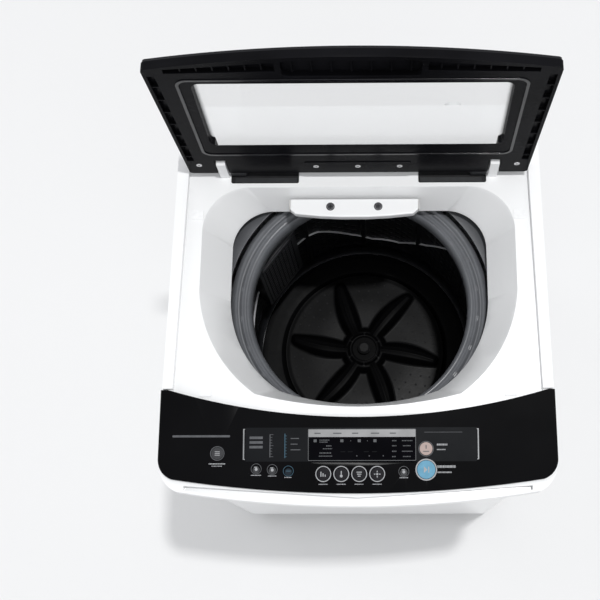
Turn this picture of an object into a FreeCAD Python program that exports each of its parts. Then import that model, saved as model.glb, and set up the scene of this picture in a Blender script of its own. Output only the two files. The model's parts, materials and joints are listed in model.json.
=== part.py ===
import FreeCAD, Part
import Sketcher
import math
import os

# Top load washing machine, millimetres, +Z up, front towards -Y.
# X and Y zero lie on the wash tub's axis, Z zero on the floor.

doc = FreeCAD.newDocument("top_load_washer")
sheet = doc.addObject("Spreadsheet::Sheet", "Dims")

DIMS = [
    ("deck_z", 905), ("seat_drop", 12), ("cover_low_z", 838), ("cover_wall", 3),
    ("rear_hw", 277), ("mid_hw", 282), ("front_hw", 286), ("rear_y", 296),
    ("rim_corner_x", 262), ("rim_corner_y", -293), ("rim_bow", 21), ("cover_corner", 14),
    ("rail_in", 260.5), ("rail_taper", 7), ("seat_back_y", 181.5), ("panel_y", -150), ("panel_tilt", 9.8), ("panel_th", 6),
    ("bowl_hw", 238), ("bowl_back", 165), ("bowl_front", -156), ("bowl_bow", 19), ("hole_z", 832),
    ("hole_hw", 199.5), ("hole_back", 147), ("hole_front", -141), ("hole_bow", 20), ("bowl_wall", 3),
    ("cab_hw", 270), ("cab_front", -274), ("cab_back", 286), ("cab_low", 52), ("cab_top", 852), ("cab_th", 1.2), ("cab_r", 24),
    ("lid_hw", 258), ("lid_front_hw", 264.5), ("sill_low", 62), ("notch_s", 46), ("ear_top", 947), ("lid_side", 323), ("lid_bow", 29), ("lid_th", 12), ("glass_th", 4), ("lid_lean", 1.5),
    ("lid_y", 183), ("lid_z", 908), ("win_top_hw", 208), ("win_low_hw", 210), ("win_low", 101), ("win_high", 285),
    ("pin_r", 4), ("pin_gap", 0.05), ("pin_up", -7), ("pin_in", -6),
    ("ring_in_r", 170), ("ring_out_r", 199), ("ring_top_z", 817), ("ring_low_z", 780),
    ("basket_r", 201.5), ("basket_th", 1.2), ("basket_low_z", 478), ("base_r", 192), ("base_z", 460),
    ("puls_r", 148), ("puls_z", 466), ("vane_h", 16), ("hub_r", 22),
    ("tub_r", 226), ("tub_th", 3), ("tub_low_z", 428), ("tub_top_z", 806),
    ("shaft_r", 8), ("tube_r", 15), ("run_gap", 0.06),
    ("pulley_r", 90), ("mpulley_r", 30), ("belt_z", 292), ("motor_x", 150), ("motor_y", 60), ("motor_r", 62),
    ("rod_xy", 214), ("rod_r", 4), ("spring_low", 366), ("arm_z", 422), ("spring_r", 10), ("wire_r", 1.6),
    ("foot_xy", 238), ("foot_y", 235), ("foot_r", 20), ("pad_th", 12), ("stem_r", 5),
    ("inlet_x", -7), ("inlet_hw", 100), ("inlet_y", 123), ("inlet_z", 862), ("inlet_th", 14),
    ("key_gap", 0.3), ("key_top", 0.7), ("key_low", -4.6),
    ("spigot_r", 13.2), ("spigot_z", 868), ("spigot_x", 150), ("drain_r", 15), ("drain_z", 150), ("drain_x", -200), ("stub_len", 18),
]
for row, (alias, value) in enumerate(DIMS, 1):
    sheet.set("A%d" % row, alias)
    sheet.set("B%d" % row, str(value))
    sheet.setAlias("B%d" % row, alias)
doc.recompute()


class Q:
    """A number together with the sheet expression it comes from."""

    def __init__(self, v, s):
        self.v, self.s = float(v), s

    def _o(o):
        return o if isinstance(o, Q) else Q(o, repr(float(o)))

    def _mk(self, o, op, flip=False):
        o = Q._o(o)
        a, b = (o, self) if flip else (self, o)
        v = {"+": lambda: a.v + b.v, "-": lambda: a.v - b.v, "*": lambda: a.v * b.v, "/": lambda: a.v / b.v}[op]()
        return Q(v, "(%s %s %s)" % (a.s, op, b.s))

    def __add__(self, o): return self._mk(o, "+")
    def __radd__(self, o): return self._mk(o, "+", True)
    def __sub__(self, o): return self._mk(o, "-")
    def __rsub__(self, o): return self._mk(o, "-", True)
    def __mul__(self, o): return self._mk(o, "*")
    def __rmul__(self, o): return self._mk(o, "*", True)
    def __truediv__(self, o): return self._mk(o, "/")
    def __neg__(self): return Q(-self.v, "(-1 * %s)" % self.s)


class Dims:
    def __getattr__(self, name):
        return Q(sheet.get(name), "Dims." + name)


d = Dims()


def val(q):
    return q.v if isinstance(q, Q) else float(q)


def put(obj, prop, q):
    """Bind a property to the sheet when the value comes from it."""
    if isinstance(q, Q) and "Dims." in q.s:
        obj.setExpression(prop, q.s)
    else:
        target = prop.split(".")
        if len(target) == 1:
            setattr(obj, prop, val(q))


PARTS = []


def body(name, pos=(0, 0, 0), tilt=None):
    b = doc.addObject("PartDesign::Body", name)
    b.Label = name
    if hasattr(b, "AllowCompound"):
        b.AllowCompound = True
    b.Placement = FreeCAD.Placement(FreeCAD.Vector(*[val(c) for c in pos]), FreeCAD.Rotation(FreeCAD.Vector(1, 0, 0), val(tilt) if tilt is not None else 0))
    for ax, c in zip("xyz", pos):
        if isinstance(c, Q):
            b.setExpression("Placement.Base." + ax, c.s)
    PARTS.append(b)
    return b


def plane(b, role):
    return [f for f in b.Origin.OriginFeatures if f.Role == role][0]


def sketch(b, name, role, loops, off=None):
    s = b.newObject("Sketcher::SketchObject", name)
    s.AttachmentSupport = [(plane(b, role), "")]
    s.MapMode = "FlatFace"
    if off is not None:
        s.AttachmentOffset = FreeCAD.Placement(FreeCAD.Vector(0, 0, val(off)), FreeCAD.Rotation())
        if isinstance(off, Q):
            s.setExpression("AttachmentOffset.Base.z", off.s)
    V = FreeCAD.Vector

    def dim(kind, geo, pos, q):
        q = q if isinstance(q, Q) else Q(q, repr(float(q)))
        if kind == "Radius":
            i = s.addConstraint(Sketcher.Constraint("Radius", geo, q.v))
        else:
            i = s.addConstraint(Sketcher.Constraint(kind, -1, 1, geo, pos, q.v))
        if "Dims." in q.s:
            s.setExpression("Constraints[%d]" % i, q.s)

    for loop in loops:
        if loop[0] == "circle":
            _, cx, cy, r = loop
            g = s.addGeometry(Part.Circle(V(val(cx), val(cy), 0), V(0, 0, 1), val(r)), False)
            dim("DistanceX", g, 3, cx)
            dim("DistanceY", g, 3, cy)
            dim("Radius", g, 0, r)
            continue
        pts = loop
        n = len(pts)
        ends = []
        for i in range(n):
            p, q = pts[i], pts[(i + 1) % n]
            x0, y0, x1, y1 = val(p[0]), val(p[1]), val(q[0]), val(q[1])
            sag = val(p[2]) if len(p) > 2 else 0.0
            if abs(sag) < 1e-9:
                g = s.addGeometry(Part.LineSegment(V(x0, y0, 0), V(x1, y1, 0)), False)
                ends.append((g, 1, 2))
            else:
                c = math.hypot(x1 - x0, y1 - y0)
                a = abs(sag)
                R = (c * c / 4 + a * a) / (2 * a)
                nx, ny = (y1 - y0) / c, -(x1 - x0) / c
                k = (a - R) if sag > 0 else (R - a)
                cx, cy = (x0 + x1) / 2 + nx * k, (y0 + y1) / 2 + ny * k
                A, B = math.atan2(y0 - cy, x0 - cx), math.atan2(y1 - cy, x1 - cx)
                if sag < 0:
                    A, B = B, A
                while B < A:
                    B += 2 * math.pi
                g = s.addGeometry(Part.ArcOfCircle(Part.Circle(V(cx, cy, 0), V(0, 0, 1), R), A, B), False)
                ends.append((g, 1, 2) if sag > 0 else (g, 2, 1))
        for i in range(n):
            g, a, e = ends[i]
            h, a2, e2 = ends[(i + 1) % n]
            s.addConstraint(Sketcher.Constraint("Coincident", g, e, h, a2))
        for i in range(n):
            g, a, e = ends[i]
            dim("DistanceX", g, a, pts[i][0])
            dim("DistanceY", g, a, pts[i][1])
            if len(pts[i]) > 2 and abs(val(pts[i][2])) > 1e-9:
                p, q = pts[i], pts[(i + 1) % n]
                dx, dy = Q._o(q[0]) - p[0], Q._o(q[1]) - p[1]
                sg = Q._o(p[2])
                if sg.v < 0:
                    sg = -sg
                dim("Radius", g, 0, (dx * dx + dy * dy + 4 * (sg * sg)) / (8 * sg))
    return s


def pad(b, sk, length, name="pad", reverse=False):
    f = b.newObject("PartDesign::Pad", name)
    f.Profile = sk
    f.Length = val(length)
    if isinstance(length, Q):
        f.setExpression("Length", length.s)
    f.Reversed = reverse
    sk.Visibility = False
    doc.recompute()
    return f


def pocket(b, sk, length=None, name="pocket", reverse=False, both=False):
    f = b.newObject("PartDesign::Pocket", name)
    f.Profile = sk
    if length is None:
        f.Type = 1
        f.Midplane = both
    else:
        f.Length = val(length)
        if isinstance(length, Q):
            f.setExpression("Length", length.s)
    f.Reversed = reverse
    before = b.Shape.Volume
    sk.Visibility = False
    doc.recompute()
    if not (b.Shape.Volume < before - 1e-6):
        raise RuntimeError("pocket cuts nothing: " + b.Label + "/" + name)
    return f


def rev(b, sk, name="turn"):
    f = b.newObject("PartDesign::Revolution", name)
    f.Profile = sk
    f.ReferenceAxis = (sk, ["V_Axis"])
    f.Angle = 360
    doc.recompute()
    return f


def groove(b, sk, name="groove"):
    f = b.newObject("PartDesign::Groove", name)
    f.Profile = sk
    f.ReferenceAxis = (sk, ["V_Axis"])
    f.Angle = 360
    doc.recompute()
    return f


def loft(b, sks, name, sub=False):
    f = b.newObject("PartDesign::SubtractiveLoft" if sub else "PartDesign::AdditiveLoft", name)
    f.Profile = sks[0]
    f.Sections = sks[1:]
    f.Ruled = True
    doc.recompute()
    return f


def polar(b, feat, count, name="around"):
    f = b.newObject("PartDesign::PolarPattern", name)
    f.Originals = [feat]
    f.Axis = ([x for x in b.Origin.OriginFeatures if x.Role == "Z_Axis"][0], [""])
    f.Angle = 360
    f.Occurrences = count
    b.Tip = f
    doc.recompute()
    return f


def fillet(b, feat, edges, r, name="round"):
    f = b.newObject("PartDesign::Fillet", name)
    f.Base = (feat, edges)
    f.Radius = val(r)
    doc.recompute()
    if (not f.isValid()) or f.Shape.isNull() or not f.Shape.isValid():
        b.removeObject(f)
        doc.removeObject(f.Name)
        b.Tip = feat
        doc.recompute()
        print("fillet dropped", b.Label, name)
        return feat
    return f


def edges_at(shape, test):
    out = []
    for i, e in enumerate(shape.Edges, 1):
        bb = e.BoundBox
        if test(e, bb):
            out.append("Edge%d" % i)
    return out


K = 1 - math.sqrt(0.5)      # sagitta of a quarter circle of radius one


def rrect(x0, y0, x1, y1, r):
    """Rounded rectangle, counter-clockwise."""
    k = K * r
    return [(x0 + r, y0), (x1 - r, y0, k), (x1, y0 + r), (x1, y1 - r, k), (x1 - r, y1), (x0 + r, y1, k), (x0, y1 - r), (x0, y0 + r, k)]


def rect(x0, y0, x1, y1):
    return [(x0, y0), (x1, y0), (x1, y1), (x0, y1)]


def outline(inset, ins_y=None):
    """Plan outline of the top cover, moved inwards by inset."""
    r = d.cover_corner
    k = r * K
    i = inset
    return [(-d.rim_corner_x + i * 0.6, d.rim_corner_y + i, d.rim_bow), (d.rim_corner_x - i * 0.6, d.rim_corner_y + i, 8.5),
            (d.front_hw - i, -248), (d.mid_hw - i, d.panel_y), (d.rear_hw - i, d.rear_y - r - i, k),
            (d.rear_hw - r - i, d.rear_y - i), (-(d.rear_hw - r - i), d.rear_y - i, k), (-(d.rear_hw - i), d.rear_y - r - i),
            (-(d.mid_hw - i), d.panel_y), (-(d.front_hw - i), -248, 8.5)]


def dshape(hw, back, front, bow, cx, sx, off=0):
    """D-shaped contour: straight back, round corners and a bowed front."""
    return [(-(sx + off), front - off, bow), (sx + off, front - off, 20), (hw + off, 0), (hw + off, back - cx, cx * 0.27),
            (hw - cx + off * 0.6, back + off), (-(hw - cx + off * 0.6), back + off, cx * 0.27), (-(hw + off), back - cx), (-(hw + off), 0, 20)]


# ---------------------------------------------------------------- top cover
seat = d.deck_z - d.seat_drop
cover = body("top_cover")
pad(cover, sketch(cover, "plan", "XY_Plane", [outline(Q(0, "0"))], d.cover_low_z), d.deck_z - d.cover_low_z, "block")
# the front slopes down towards the user, under the control panel
tan = math.tan(math.radians(9.8))
pocket(cover, sketch(cover, "slope", "YZ_Plane", [[(d.panel_y, d.deck_z + 5), (d.panel_y, d.deck_z - d.panel_th - 0.12),
       (-330, d.deck_z - d.panel_th - 0.12 + (d.panel_y + 330) * (-tan)), (-330, d.deck_z + 5)]]), None, "slope_cut", both=True)
# seat the lid drops into, between the two side rails
pocket(cover, sketch(cover, "seat_plan", "XY_Plane", [[(-(d.rail_in + d.rail_taper), -215), (d.rail_in + d.rail_taper, -215), (d.rail_in + d.rail_taper, -150),
    (d.rail_in, d.seat_back_y + 22), (-d.rail_in, d.seat_back_y + 22), (-(d.rail_in + d.rail_taper), -150)]], d.deck_z), d.seat_drop, "seat_cut")
# hollow underside with an outer skirt
pocket(cover, sketch(cover, "under_rear", "XY_Plane", [[(-(d.mid_hw - 4), -200), (d.mid_hw - 4, -200), (d.rear_hw - 4, d.rear_y - 10), (d.rear_hw - 10, d.rear_y - 4),
       (-(d.rear_hw - 10), d.rear_y - 4), (-(d.rear_hw - 4), d.rear_y - 10)]], d.cover_low_z), seat - d.cover_low_z - d.cover_wall, "hollow", reverse=True)
pocket(cover, sketch(cover, "under_front", "XY_Plane", [[(-(d.rim_corner_x - 2), -280, 15), (d.rim_corner_x - 2, -280), (d.mid_hw - 2, -240), (d.mid_hw - 4, -200),
       (-(d.mid_hw - 4), -200), (-(d.mid_hw - 2), -240)]], d.cover_low_z), 24, "hollow_front", reverse=True)
# bowl: outer skin added, inner space removed
hi_out = sketch(cover, "bowl_out_hi", "XY_Plane", [dshape(d.bowl_hw, d.bowl_back, d.bowl_front, d.bowl_bow, 66, Q(150, "150"), d.bowl_wall)], seat - 1)
lo_out = sketch(cover, "bowl_out_lo", "XY_Plane", [dshape(d.hole_hw, d.hole_back, d.hole_front, d.hole_bow, 60, Q(120, "120"), d.bowl_wall)], d.hole_z)
loft(cover, [hi_out, lo_out], "bowl_skin")
hi_in = sketch(cover, "bowl_in_hi", "XY_Plane", [dshape(d.bowl_hw, d.bowl_back, d.bowl_front, d.bowl_bow, 66, Q(150, "150"))], seat)
lo_in = sketch(cover, "bowl_in_lo", "XY_Plane", [dshape(d.hole_hw, d.hole_back, d.hole_front, d.hole_bow, 60, Q(120, "120"))], d.hole_z)
loft(cover, [hi_in, lo_in], "bowl_space", sub=True)
# pockets for the two hinges
pocket(cover, sketch(cover, "hinge_plan", "XY_Plane", [rrect(-197, 171.5, -92, 202, 3), rrect(92, 171.5, 197, 202, 3)], seat), 2.0, "hinge_recess")
# ledge for the display board and a seam groove along the front rim
pocket(cover, sketch(cover, "board_plan", "XY_Plane", [rect(-165, -282, 165, -214)], d.deck_z - 17), 18, "board_recess")
pocket(cover, sketch(cover, "seam_plan", "XY_Plane", [[(-250, -291.5, 19), (250, -291.5), (250, -285.5), (0, -302.0), (-250, -285.5)]], d.deck_z - 20), 24, "seam")
# way out for the water inlet at the back
pocket(cover, sketch(cover, "inlet_way", "XZ_Plane", [("circle", d.spigot_x, d.spigot_z, d.spigot_r + 0.6)], -(d.rear_y + 2)), 12, "inlet_way", reverse=True)
# ---------------------------------------------------------------- control panel
PP = (0, d.panel_y, d.deck_z)
ca = math.cos(math.radians(9.8))
KEYS = [("key_menu", -201, -241, 8.6), ("key_power", 98, -235, 9.2), ("key_start", 98, -264, 13.0),
        ("key_level", -49, -270, 9.0), ("key_temp", -23.3, -270, 9.0), ("key_rinse", 2.3, -270, 9.0), ("key_spin", 28, -270, 9.0),
        ("key_soak", -145, -264, 5.2), ("key_delay", -122, -265, 5.2), ("key_wash", -99, -267, 5.2), ("key_lock", 66, -268, 5.2)]


def loc(y):
    return (y + 150) / ca


panel = body("control_panel", PP, 9.8)
pad(panel, sketch(panel, "plan", "XY_Plane", [[(-266, loc(-277), 20), (266, loc(-277), 6), (286.5, loc(-248)), (284, loc(-152)),
    (276, loc(-151.5), -39.5), (-276, loc(-151.5)), (-284, loc(-152)), (-286.5, loc(-248), 6)]], -d.panel_th), d.panel_th, "plate")
pocket(panel, sketch(panel, "key_holes", "XY_Plane", [("circle", x, loc(y), r + d.key_gap) for n, x, y, r in KEYS], 0), None, "key_holes")
pocket(panel, sketch(panel, "window_rebate", "XY_Plane", [rrect(-70, loc(-254), 83, loc(-210), 3)], 0), 2.0, "window_rebate")
win = body("display_window", PP, 9.8)
pad(win, sketch(win, "plan", "XY_Plane", [rrect(-69.5, loc(-253.6), 82.5, loc(-210.4), 3)], -2.0), 2.3, "pane")
trim = body("panel_trim", PP, 9.8)
pad(trim, sketch(trim, "brackets", "XY_Plane", [
    rect(-166, loc(-251), -162.5, loc(-211)), rect(173, loc(-251), 176.5, loc(-211))], 0), 0.6, "bars")
pad(trim, sketch(trim, "frame", "XY_Plane", [rrect(-72.5, loc(-256.5), 85.5, loc(-208), 4), rrect(-70, loc(-254), 83, loc(-210), 3)], 0), 0.6, "frame")
for n, x, y, r in KEYS:
    kb = body(n, PP, 9.8)
    f = pad(kb, sketch(kb, "face", "XY_Plane", [("circle", x, loc(y), r)], d.key_low), d.key_top - d.key_low, "button")
    fillet(kb, f, edges_at(f.Shape, lambda e, bb: bb.ZMin > 0.5), 0.5)
board = body("display_board")
pad(board, sketch(board, "plan", "XY_Plane", [rect(-155, -279, 155, -218)], 870.1), 1.6, "card")
pad(board, sketch(board, "chips", "XY_Plane", [rect(-60, -250, 70, -226), rect(-120, -262, -90, -240), rect(100, -260, 130, -236)], 871.7), 2.4, "chips")

# ---------------------------------------------------------------- inlet box and small cover parts
inlet = body("inlet_box")
pad(inlet, sketch(inlet, "plan", "XY_Plane", [[(d.inlet_x - d.inlet_hw + 6, d.inlet_y + 8), (d.inlet_x - 20, d.inlet_y, 0.8), (d.inlet_x + 20, d.inlet_y), (d.inlet_x + d.inlet_hw - 6, d.inlet_y + 8), (d.inlet_x + d.inlet_hw, d.inlet_y + 13),
    (d.inlet_x + d.inlet_hw, 152), (d.inlet_x - d.inlet_hw, 152), (d.inlet_x - d.inlet_hw, d.inlet_y + 13)]], d.inlet_z), d.inlet_th, "shell")
pocket(inlet, sketch(inlet, "under", "XY_Plane", [rect(d.inlet_x - 86, d.inlet_y + 12, d.inlet_x + 86, 147)], d.inlet_z), 8, "outlet", reverse=True)
pocket(inlet, sketch(inlet, "screw_holes", "XY_Plane", [("circle", d.inlet_x - 37, 139, 2.0), ("circle", d.inlet_x + 37, 139, 2.0)], d.inlet_z + d.inlet_th), 6, "screw_holes")
ib = body("inlet_screws")
pad(ib, sketch(ib, "heads", "XY_Plane", [("circle", d.inlet_x - 37, 139, 4.6), ("circle", d.inlet_x + 37, 139, 4.6)], d.inlet_z + d.inlet_th), 1.8, "heads")
pad(ib, sketch(ib, "shanks", "XY_Plane", [("circle", d.inlet_x - 37, 139, 1.9), ("circle", d.inlet_x + 37, 139, 1.9)], d.inlet_z + d.inlet_th - 5), 5.2, "shanks")
bp = body("bumper_pads")
pad(bp, sketch(bp, "pads", "XY_Plane", [rrect(x - 9, y - 8, x + 9, y + 8, 2) for x, y in ((-222, -152), (222, -152), (-246, 120), (246, 120))], seat), 1.6, "pads")

# ---------------------------------------------------------------- hinges
ll = math.radians(1.5)
pin_y = val(d.lid_y) + val(d.pin_up) * math.sin(ll) - val(d.pin_in) * math.cos(ll)
pin_z = val(d.lid_z) + val(d.pin_up) * math.cos(ll) + val(d.pin_in) * math.sin(ll)
ears = body("hinge_ears")
for side, sg in (("left", -1), ("right", 1)):
    x0, x1 = sorted((sg * 199, sg * 213))
    pad(ears, sketch(ears, "side_" + side, "YZ_Plane", [[(pin_y - 8, seat), (203, seat), (203, d.ear_top - 12), (197, d.ear_top), (pin_y - 4, d.ear_top), (pin_y - 8, d.ear_top - 4)]], x0), x1 - x0, "block_" + side)
pocket(ears, sketch(ears, "bores", "YZ_Plane", [("circle", pin_y, pin_z, d.pin_r)], 0), None, "bores", both=True)
pins = body("hinge_pins")
for side, sg in (("left", -1), ("right", 1)):
    a, b_ = sorted((sg * 173, sg * 213))
    pad(pins, sketch(pins, "round_" + side, "YZ_Plane", [("circle", pin_y, pin_z, d.pin_r)], a), b_ - a, "rod_" + side)

LP = (0, d.lid_y, d.lid_z)
LT = 88.5
arm = body("hinge_arms", LP, LT)
for side, sg in (("left", -1), ("right", 1)):
    a, b_ = sorted((sg * 172, sg * 197))
    pad(arm, sketch(arm, "side_" + side, "YZ_Plane", [[(d.pin_up - 7, d.pin_in - 3.2, 0), (d.pin_up - 7, d.pin_in + 3.2, 0), (d.pin_up - 3.2, d.pin_in + 6.5), (0, -0.5), (0, -11.5), (d.pin_up - 3.2, d.pin_in - 6.5)]], a), b_ - a, "block_" + side)
pocket(arm, sketch(arm, "bores", "YZ_Plane", [("circle", d.pin_up, d.pin_in, d.pin_r + d.pin_gap)], 0), None, "bores", both=True)

# ---------------------------------------------------------------- lid (drawn flat: X across, Y up the lid, Z towards its inner side)
def lid_plan(i=0):
    hw, wf, s = d.lid_hw - i, d.lid_front_hw - i, d.lid_side - i
    return [(-(hw - 6), i), (hw - 6, i, 1.76), (hw, 6 + i), (wf - 0.4, s - 7, 2.0), (wf - 7, s, d.lid_bow), (-(wf - 7), s, 2.0), (-(wf - 0.4), s - 7), (-hw, 6 + i, 1.76)]


def win_plan(g=0):
    a, b_, lo, hi, r = d.win_top_hw + g, d.win_low_hw + g, d.win_low - g, d.win_high + g, 12
    k = K * r
    return [(-(b_ - r), lo), (b_ - r, lo, k), (b_, lo + r), (a, hi - r, k), (a - r, hi), (-(a - r), hi, k), (-a, hi - r), (-b_, lo + r, k)]


lf = body("lid_frame", LP, LT)
pad(lf, sketch(lf, "plan", "XY_Plane", [lid_plan(), win_plan()], -d.lid_th), d.lid_th, "frame")
# the window's lower wall slopes away, and the rear corners are notched round the hinge ears
pocket(lf, sketch(lf, "sill", "YZ_Plane", [[(d.win_low, 0), (d.win_low + 6, 0), (d.win_low + 6, -d.lid_th), (d.sill_low, -d.lid_th)]], 204), 408, "sill_cut")
notch = [[(a, -8), (b_, -8), (b_, d.notch_s), (a, d.notch_s)] for a, b_ in ((-215, -197.6), (197.6, 215))]
pocket(lf, sketch(lf, "notch", "XY_Plane", notch, 0), d.lid_th, "ear_notch")
# sunk channel round the edge and the hand recess at the front
pocket(lf, sketch(lf, "channel", "XY_Plane", [
    [(-254.2, 45), (-244, 45), (-249, 305), (-259, 305)], [(244, 45), (254.2, 45), (259, 305), (249, 305)]], 0), 7, "side_channel")
pocket(lf, sketch(lf, "hand", "XY_Plane", [rrect(-88, 302, 88, 342, 8)], 0), 9.5, "hand_recess")
pocket(lf, sketch(lf, "front_channel", "XY_Plane", [[(-236, 312), (-96, 316), (-96, 338), (-236, 322)], [(96, 316), (236, 312), (236, 322), (96, 338)]], 0), 7, "front_channel")
lg = body("lid_glass", LP, LT)
pad(lg, sketch(lg, "plan", "XY_Plane", [lid_plan(1.0)], -(d.lid_th + d.glass_th)), d.glass_th, "pane")
pocket(lg, sketch(lg, "notch", "XY_Plane", notch, -d.lid_th), d.glass_th, "ear_notch")
lr = body("lid_ridge", LP, LT)
pad(lr, sketch(lr, "plan", "XY_Plane", [rrect(-227, 66, 227, 297, 16), rrect(-222.5, 70.5, 222.5, 292.5, 12)], 0), 1.4, "ridge")
lb = body("lid_hinge_bar", LP, LT)
pad(lb, sketch(lb, "plan", "XY_Plane", [rrect(-80, 4, 80, 40, 4)], 0), 1.2, "bar")
lsb = body("lid_screws", LP, LT)
spots = [(-63, 26), (0, 26), (63, 26)]
corner = [(-239, 31), (239, 31)]
pad(lsb, sketch(lsb, "heads", "XY_Plane", [("circle", x, y, 4.2) for x, y in spots], 1.2), 0.5, "heads")
pad(lsb, sketch(lsb, "corner_heads", "XY_Plane", [("circle", x, y, 4.2) for x, y in corner], 0), 1.2, "corner_heads")

# ---------------------------------------------------------------- cabinet
wrap = body("cabinet_wrap")


def ushape(i):
    r = d.cab_r - i
    k = r * K
    hw, fy = d.cab_hw - i, d.cab_front + i
    return hw, fy, r, k


hw, fy, r, k = ushape(Q(0, "0"))
hw2, fy2, r2, k2 = ushape(d.cab_th)
pad(wrap, sketch(wrap, "plan", "XY_Plane", [[(-(hw - r), fy), (hw - r, fy, k), (hw, fy + r), (hw, d.cab_back), (hw2, d.cab_back), (hw2, fy2 + r2, -k2), (hw2 - r2, fy2),
    (-(hw2 - r2), fy2, -k2), (-hw2, fy2 + r2), (-hw2, d.cab_back), (-hw, d.cab_back), (-hw, fy + r, k)]], d.cab_low), d.cab_top - d.cab_low - 1, "sheet")
back = body("cabinet_back")
pad(back, sketch(back, "face", "XZ_Plane", [rrect(-(d.cab_hw - d.cab_th - 0.4), d.cab_low, d.cab_hw - d.cab_th - 0.4, d.cab_top - 1, 4)], -d.cab_back), 1.2, "sheet")
pocket(back, sketch(back, "drain_hole", "XZ_Plane", [("circle", d.drain_x, d.drain_z, d.drain_r + 0.4)], -(d.cab_back + 2)), None, "drain_hole", both=True)
pad(back, sketch(back, "ribs", "XZ_Plane", [rrect(-200, z, 200, z + 16, 6) for z in (250, 420, 590, 740)], -d.cab_back - 1.5), 1.5, "ribs")
base = body("base_frame")
pad(base, sketch(base, "plan", "XY_Plane", [rrect(-266, -270, 266, 282, 22), rrect(-206, -200, 206, 205, 40)], 26), d.cab_low - 26, "ring")
pocket(base, sketch(base, "nuts", "XY_Plane", [("circle", sx * d.foot_xy, sy * d.foot_y, d.stem_r + 0.0) for sx in (-1, 1) for sy in (-1, 1)], 26), None, "nut_holes", reverse=True)
feet = body("levelling_feet")
pad(feet, sketch(feet, "stems", "XY_Plane", [("circle", sx * d.foot_xy, sy * d.foot_y, d.stem_r) for sx in (-1, 1) for sy in (-1, 1)], d.pad_th), 48 - d.pad_th, "stems")
pad(feet, sketch(feet, "nuts", "XY_Plane", [("circle", sx * d.foot_xy, sy * d.foot_y, 11) for sx in (-1, 1) for sy in (-1, 1)], d.pad_th), 7, "nuts")
pads = body("foot_pads")
pad(pads, sketch(pads, "pads", "XY_Plane", [("circle", sx * d.foot_xy, sy * d.foot_y, d.foot_r) for sx in (-1, 1) for sy in (-1, 1)], 0), d.pad_th, "pads")

# corner plates that the suspension hangs from
cp = body("corner_plates")
cx = 266.0
pad(cp, sketch(cp, "plates", "XY_Plane", [
    [(-cx, 190), (-190, cx + 8), (-cx, cx + 8)], [(cx, 190), (cx, cx + 8), (190, cx + 8)],
    [(-cx, -190), (-cx, -246, 0), (-246, -cx), (-190, -cx)], [(cx, -190), (190, -cx), (246, -cx), (cx, -246)]], 812), 3, "plates")
pocket(cp, sketch(cp, "holes", "XY_Plane", [("circle", sx * (d.rod_xy + 16), sy * (d.rod_xy + 16), d.rod_r + 0.0) for sx in (-1, 1) for sy in (-1, 1)], 812), None, "rod_holes", reverse=True)
rx = d.rod_xy + 16
SP = [(sx * rx, sy * rx) for sx in (-1, 1) for sy in (-1, 1)]
rods = body("suspension_rods")
pad(rods, sketch(rods, "rods", "XY_Plane", [("circle", x, y, d.rod_r) for x, y in SP], d.spring_low - 6), 818 - d.spring_low + 6, "rods")
pad(rods, sketch(rods, "caps", "XY_Plane", [("circle", x, y, 14) for x, y in SP], d.spring_low - 6), 6, "caps")
pad(rods, sketch(rods, "heads", "XY_Plane", [("circle", x, y, 9) for x, y in SP], 815), 5, "heads")
# coil springs between the rod caps and the carrier arms
coils = []
pitch, turns = 10.5, 4.75
for n, (x, y) in enumerate(SP):
    hx = doc.addObject("Part::Helix", "coil_path_%d" % n)
    hx.Radius = val(d.spring_r)
    hx.setExpression("Radius", "Dims.spring_r")
    hx.Pitch = pitch
    hx.Height = pitch * turns
    pr = doc.addObject("Part::Circle", "coil_wire_%d" % n)
    pr.Radius = val(d.wire_r)
    pr.setExpression("Radius", "Dims.wire_r")
    pr.Placement = FreeCAD.Placement(FreeCAD.Vector(val(d.spring_r), 0, 0), FreeCAD.Rotation(FreeCAD.Vector(1, 0, 0), 90))
    sw = doc.addObject("Part::Sweep", "coil_%d" % n)
    sw.Sections = [pr]
    sw.Spine = (hx, ["Edge1"])
    sw.Solid = True
    sw.Frenet = True
    sw.Placement = FreeCAD.Placement(FreeCAD.Vector(val(x), val(y), val(d.spring_low) + 2.4), FreeCAD.Rotation())
    coils.append(sw)
springs = doc.addObject("Part::Compound", "suspension_springs")
springs.Links = coils
springs.Label = "suspension_springs"
PARTS.append(springs)

# ---------------------------------------------------------------- outer tub (hangs on the springs)
tub = body("outer_tub")
R, t, zl, zt = d.tub_r, d.tub_th, d.tub_low_z, d.tub_top_z
rev(tub, sketch(tub, "wall", "XZ_Plane", [[(30, zl), (R - 18, zl), (R + t, zl + 20), (R + t, zt - 8), (R + t + 5, zt - 8), (R + t + 5, zt), (R, zt), (R, zl + 22), (R - 20, zl + t), (30, zl + t)]]))
ttr = body("tub_top_ring")
rev(ttr, sketch(ttr, "ring", "XZ_Plane", [[(206.5, zt + 12), (R + t + 5, zt + 6), (R + t + 5, zt), (R - 12, zt), (R - 12, zt - 4), (R - 15, zt - 4), (R - 15, zt + 3.2), (206.5, zt + 9.2)]]))
car = body("tub_carrier")
arm_w = 26
pad(car, sketch(car, "plate", "XY_Plane", [("circle", 0, 0, 120), ("circle", 0, 0, 32)], d.arm_z), 6, "disc")
for n, (x, y) in enumerate(SP):
    pass
a45 = math.sqrt(0.5)
L0, L1, W = 116.0, val(rx) * math.sqrt(2) + 16, 15.0
armpts = [(L0 * a45 + W * a45, L0 * a45 - W * a45), (L1 * a45 + W * a45, L1 * a45 - W * a45), (L1 * a45 - W * a45, L1 * a45 + W * a45), (L0 * a45 - W * a45, L0 * a45 + W * a45)]
f = pad(car, sketch(car, "arm", "XY_Plane", [armpts], d.arm_z), 6, "arm")
polar(car, f, 4, "arms")
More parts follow.
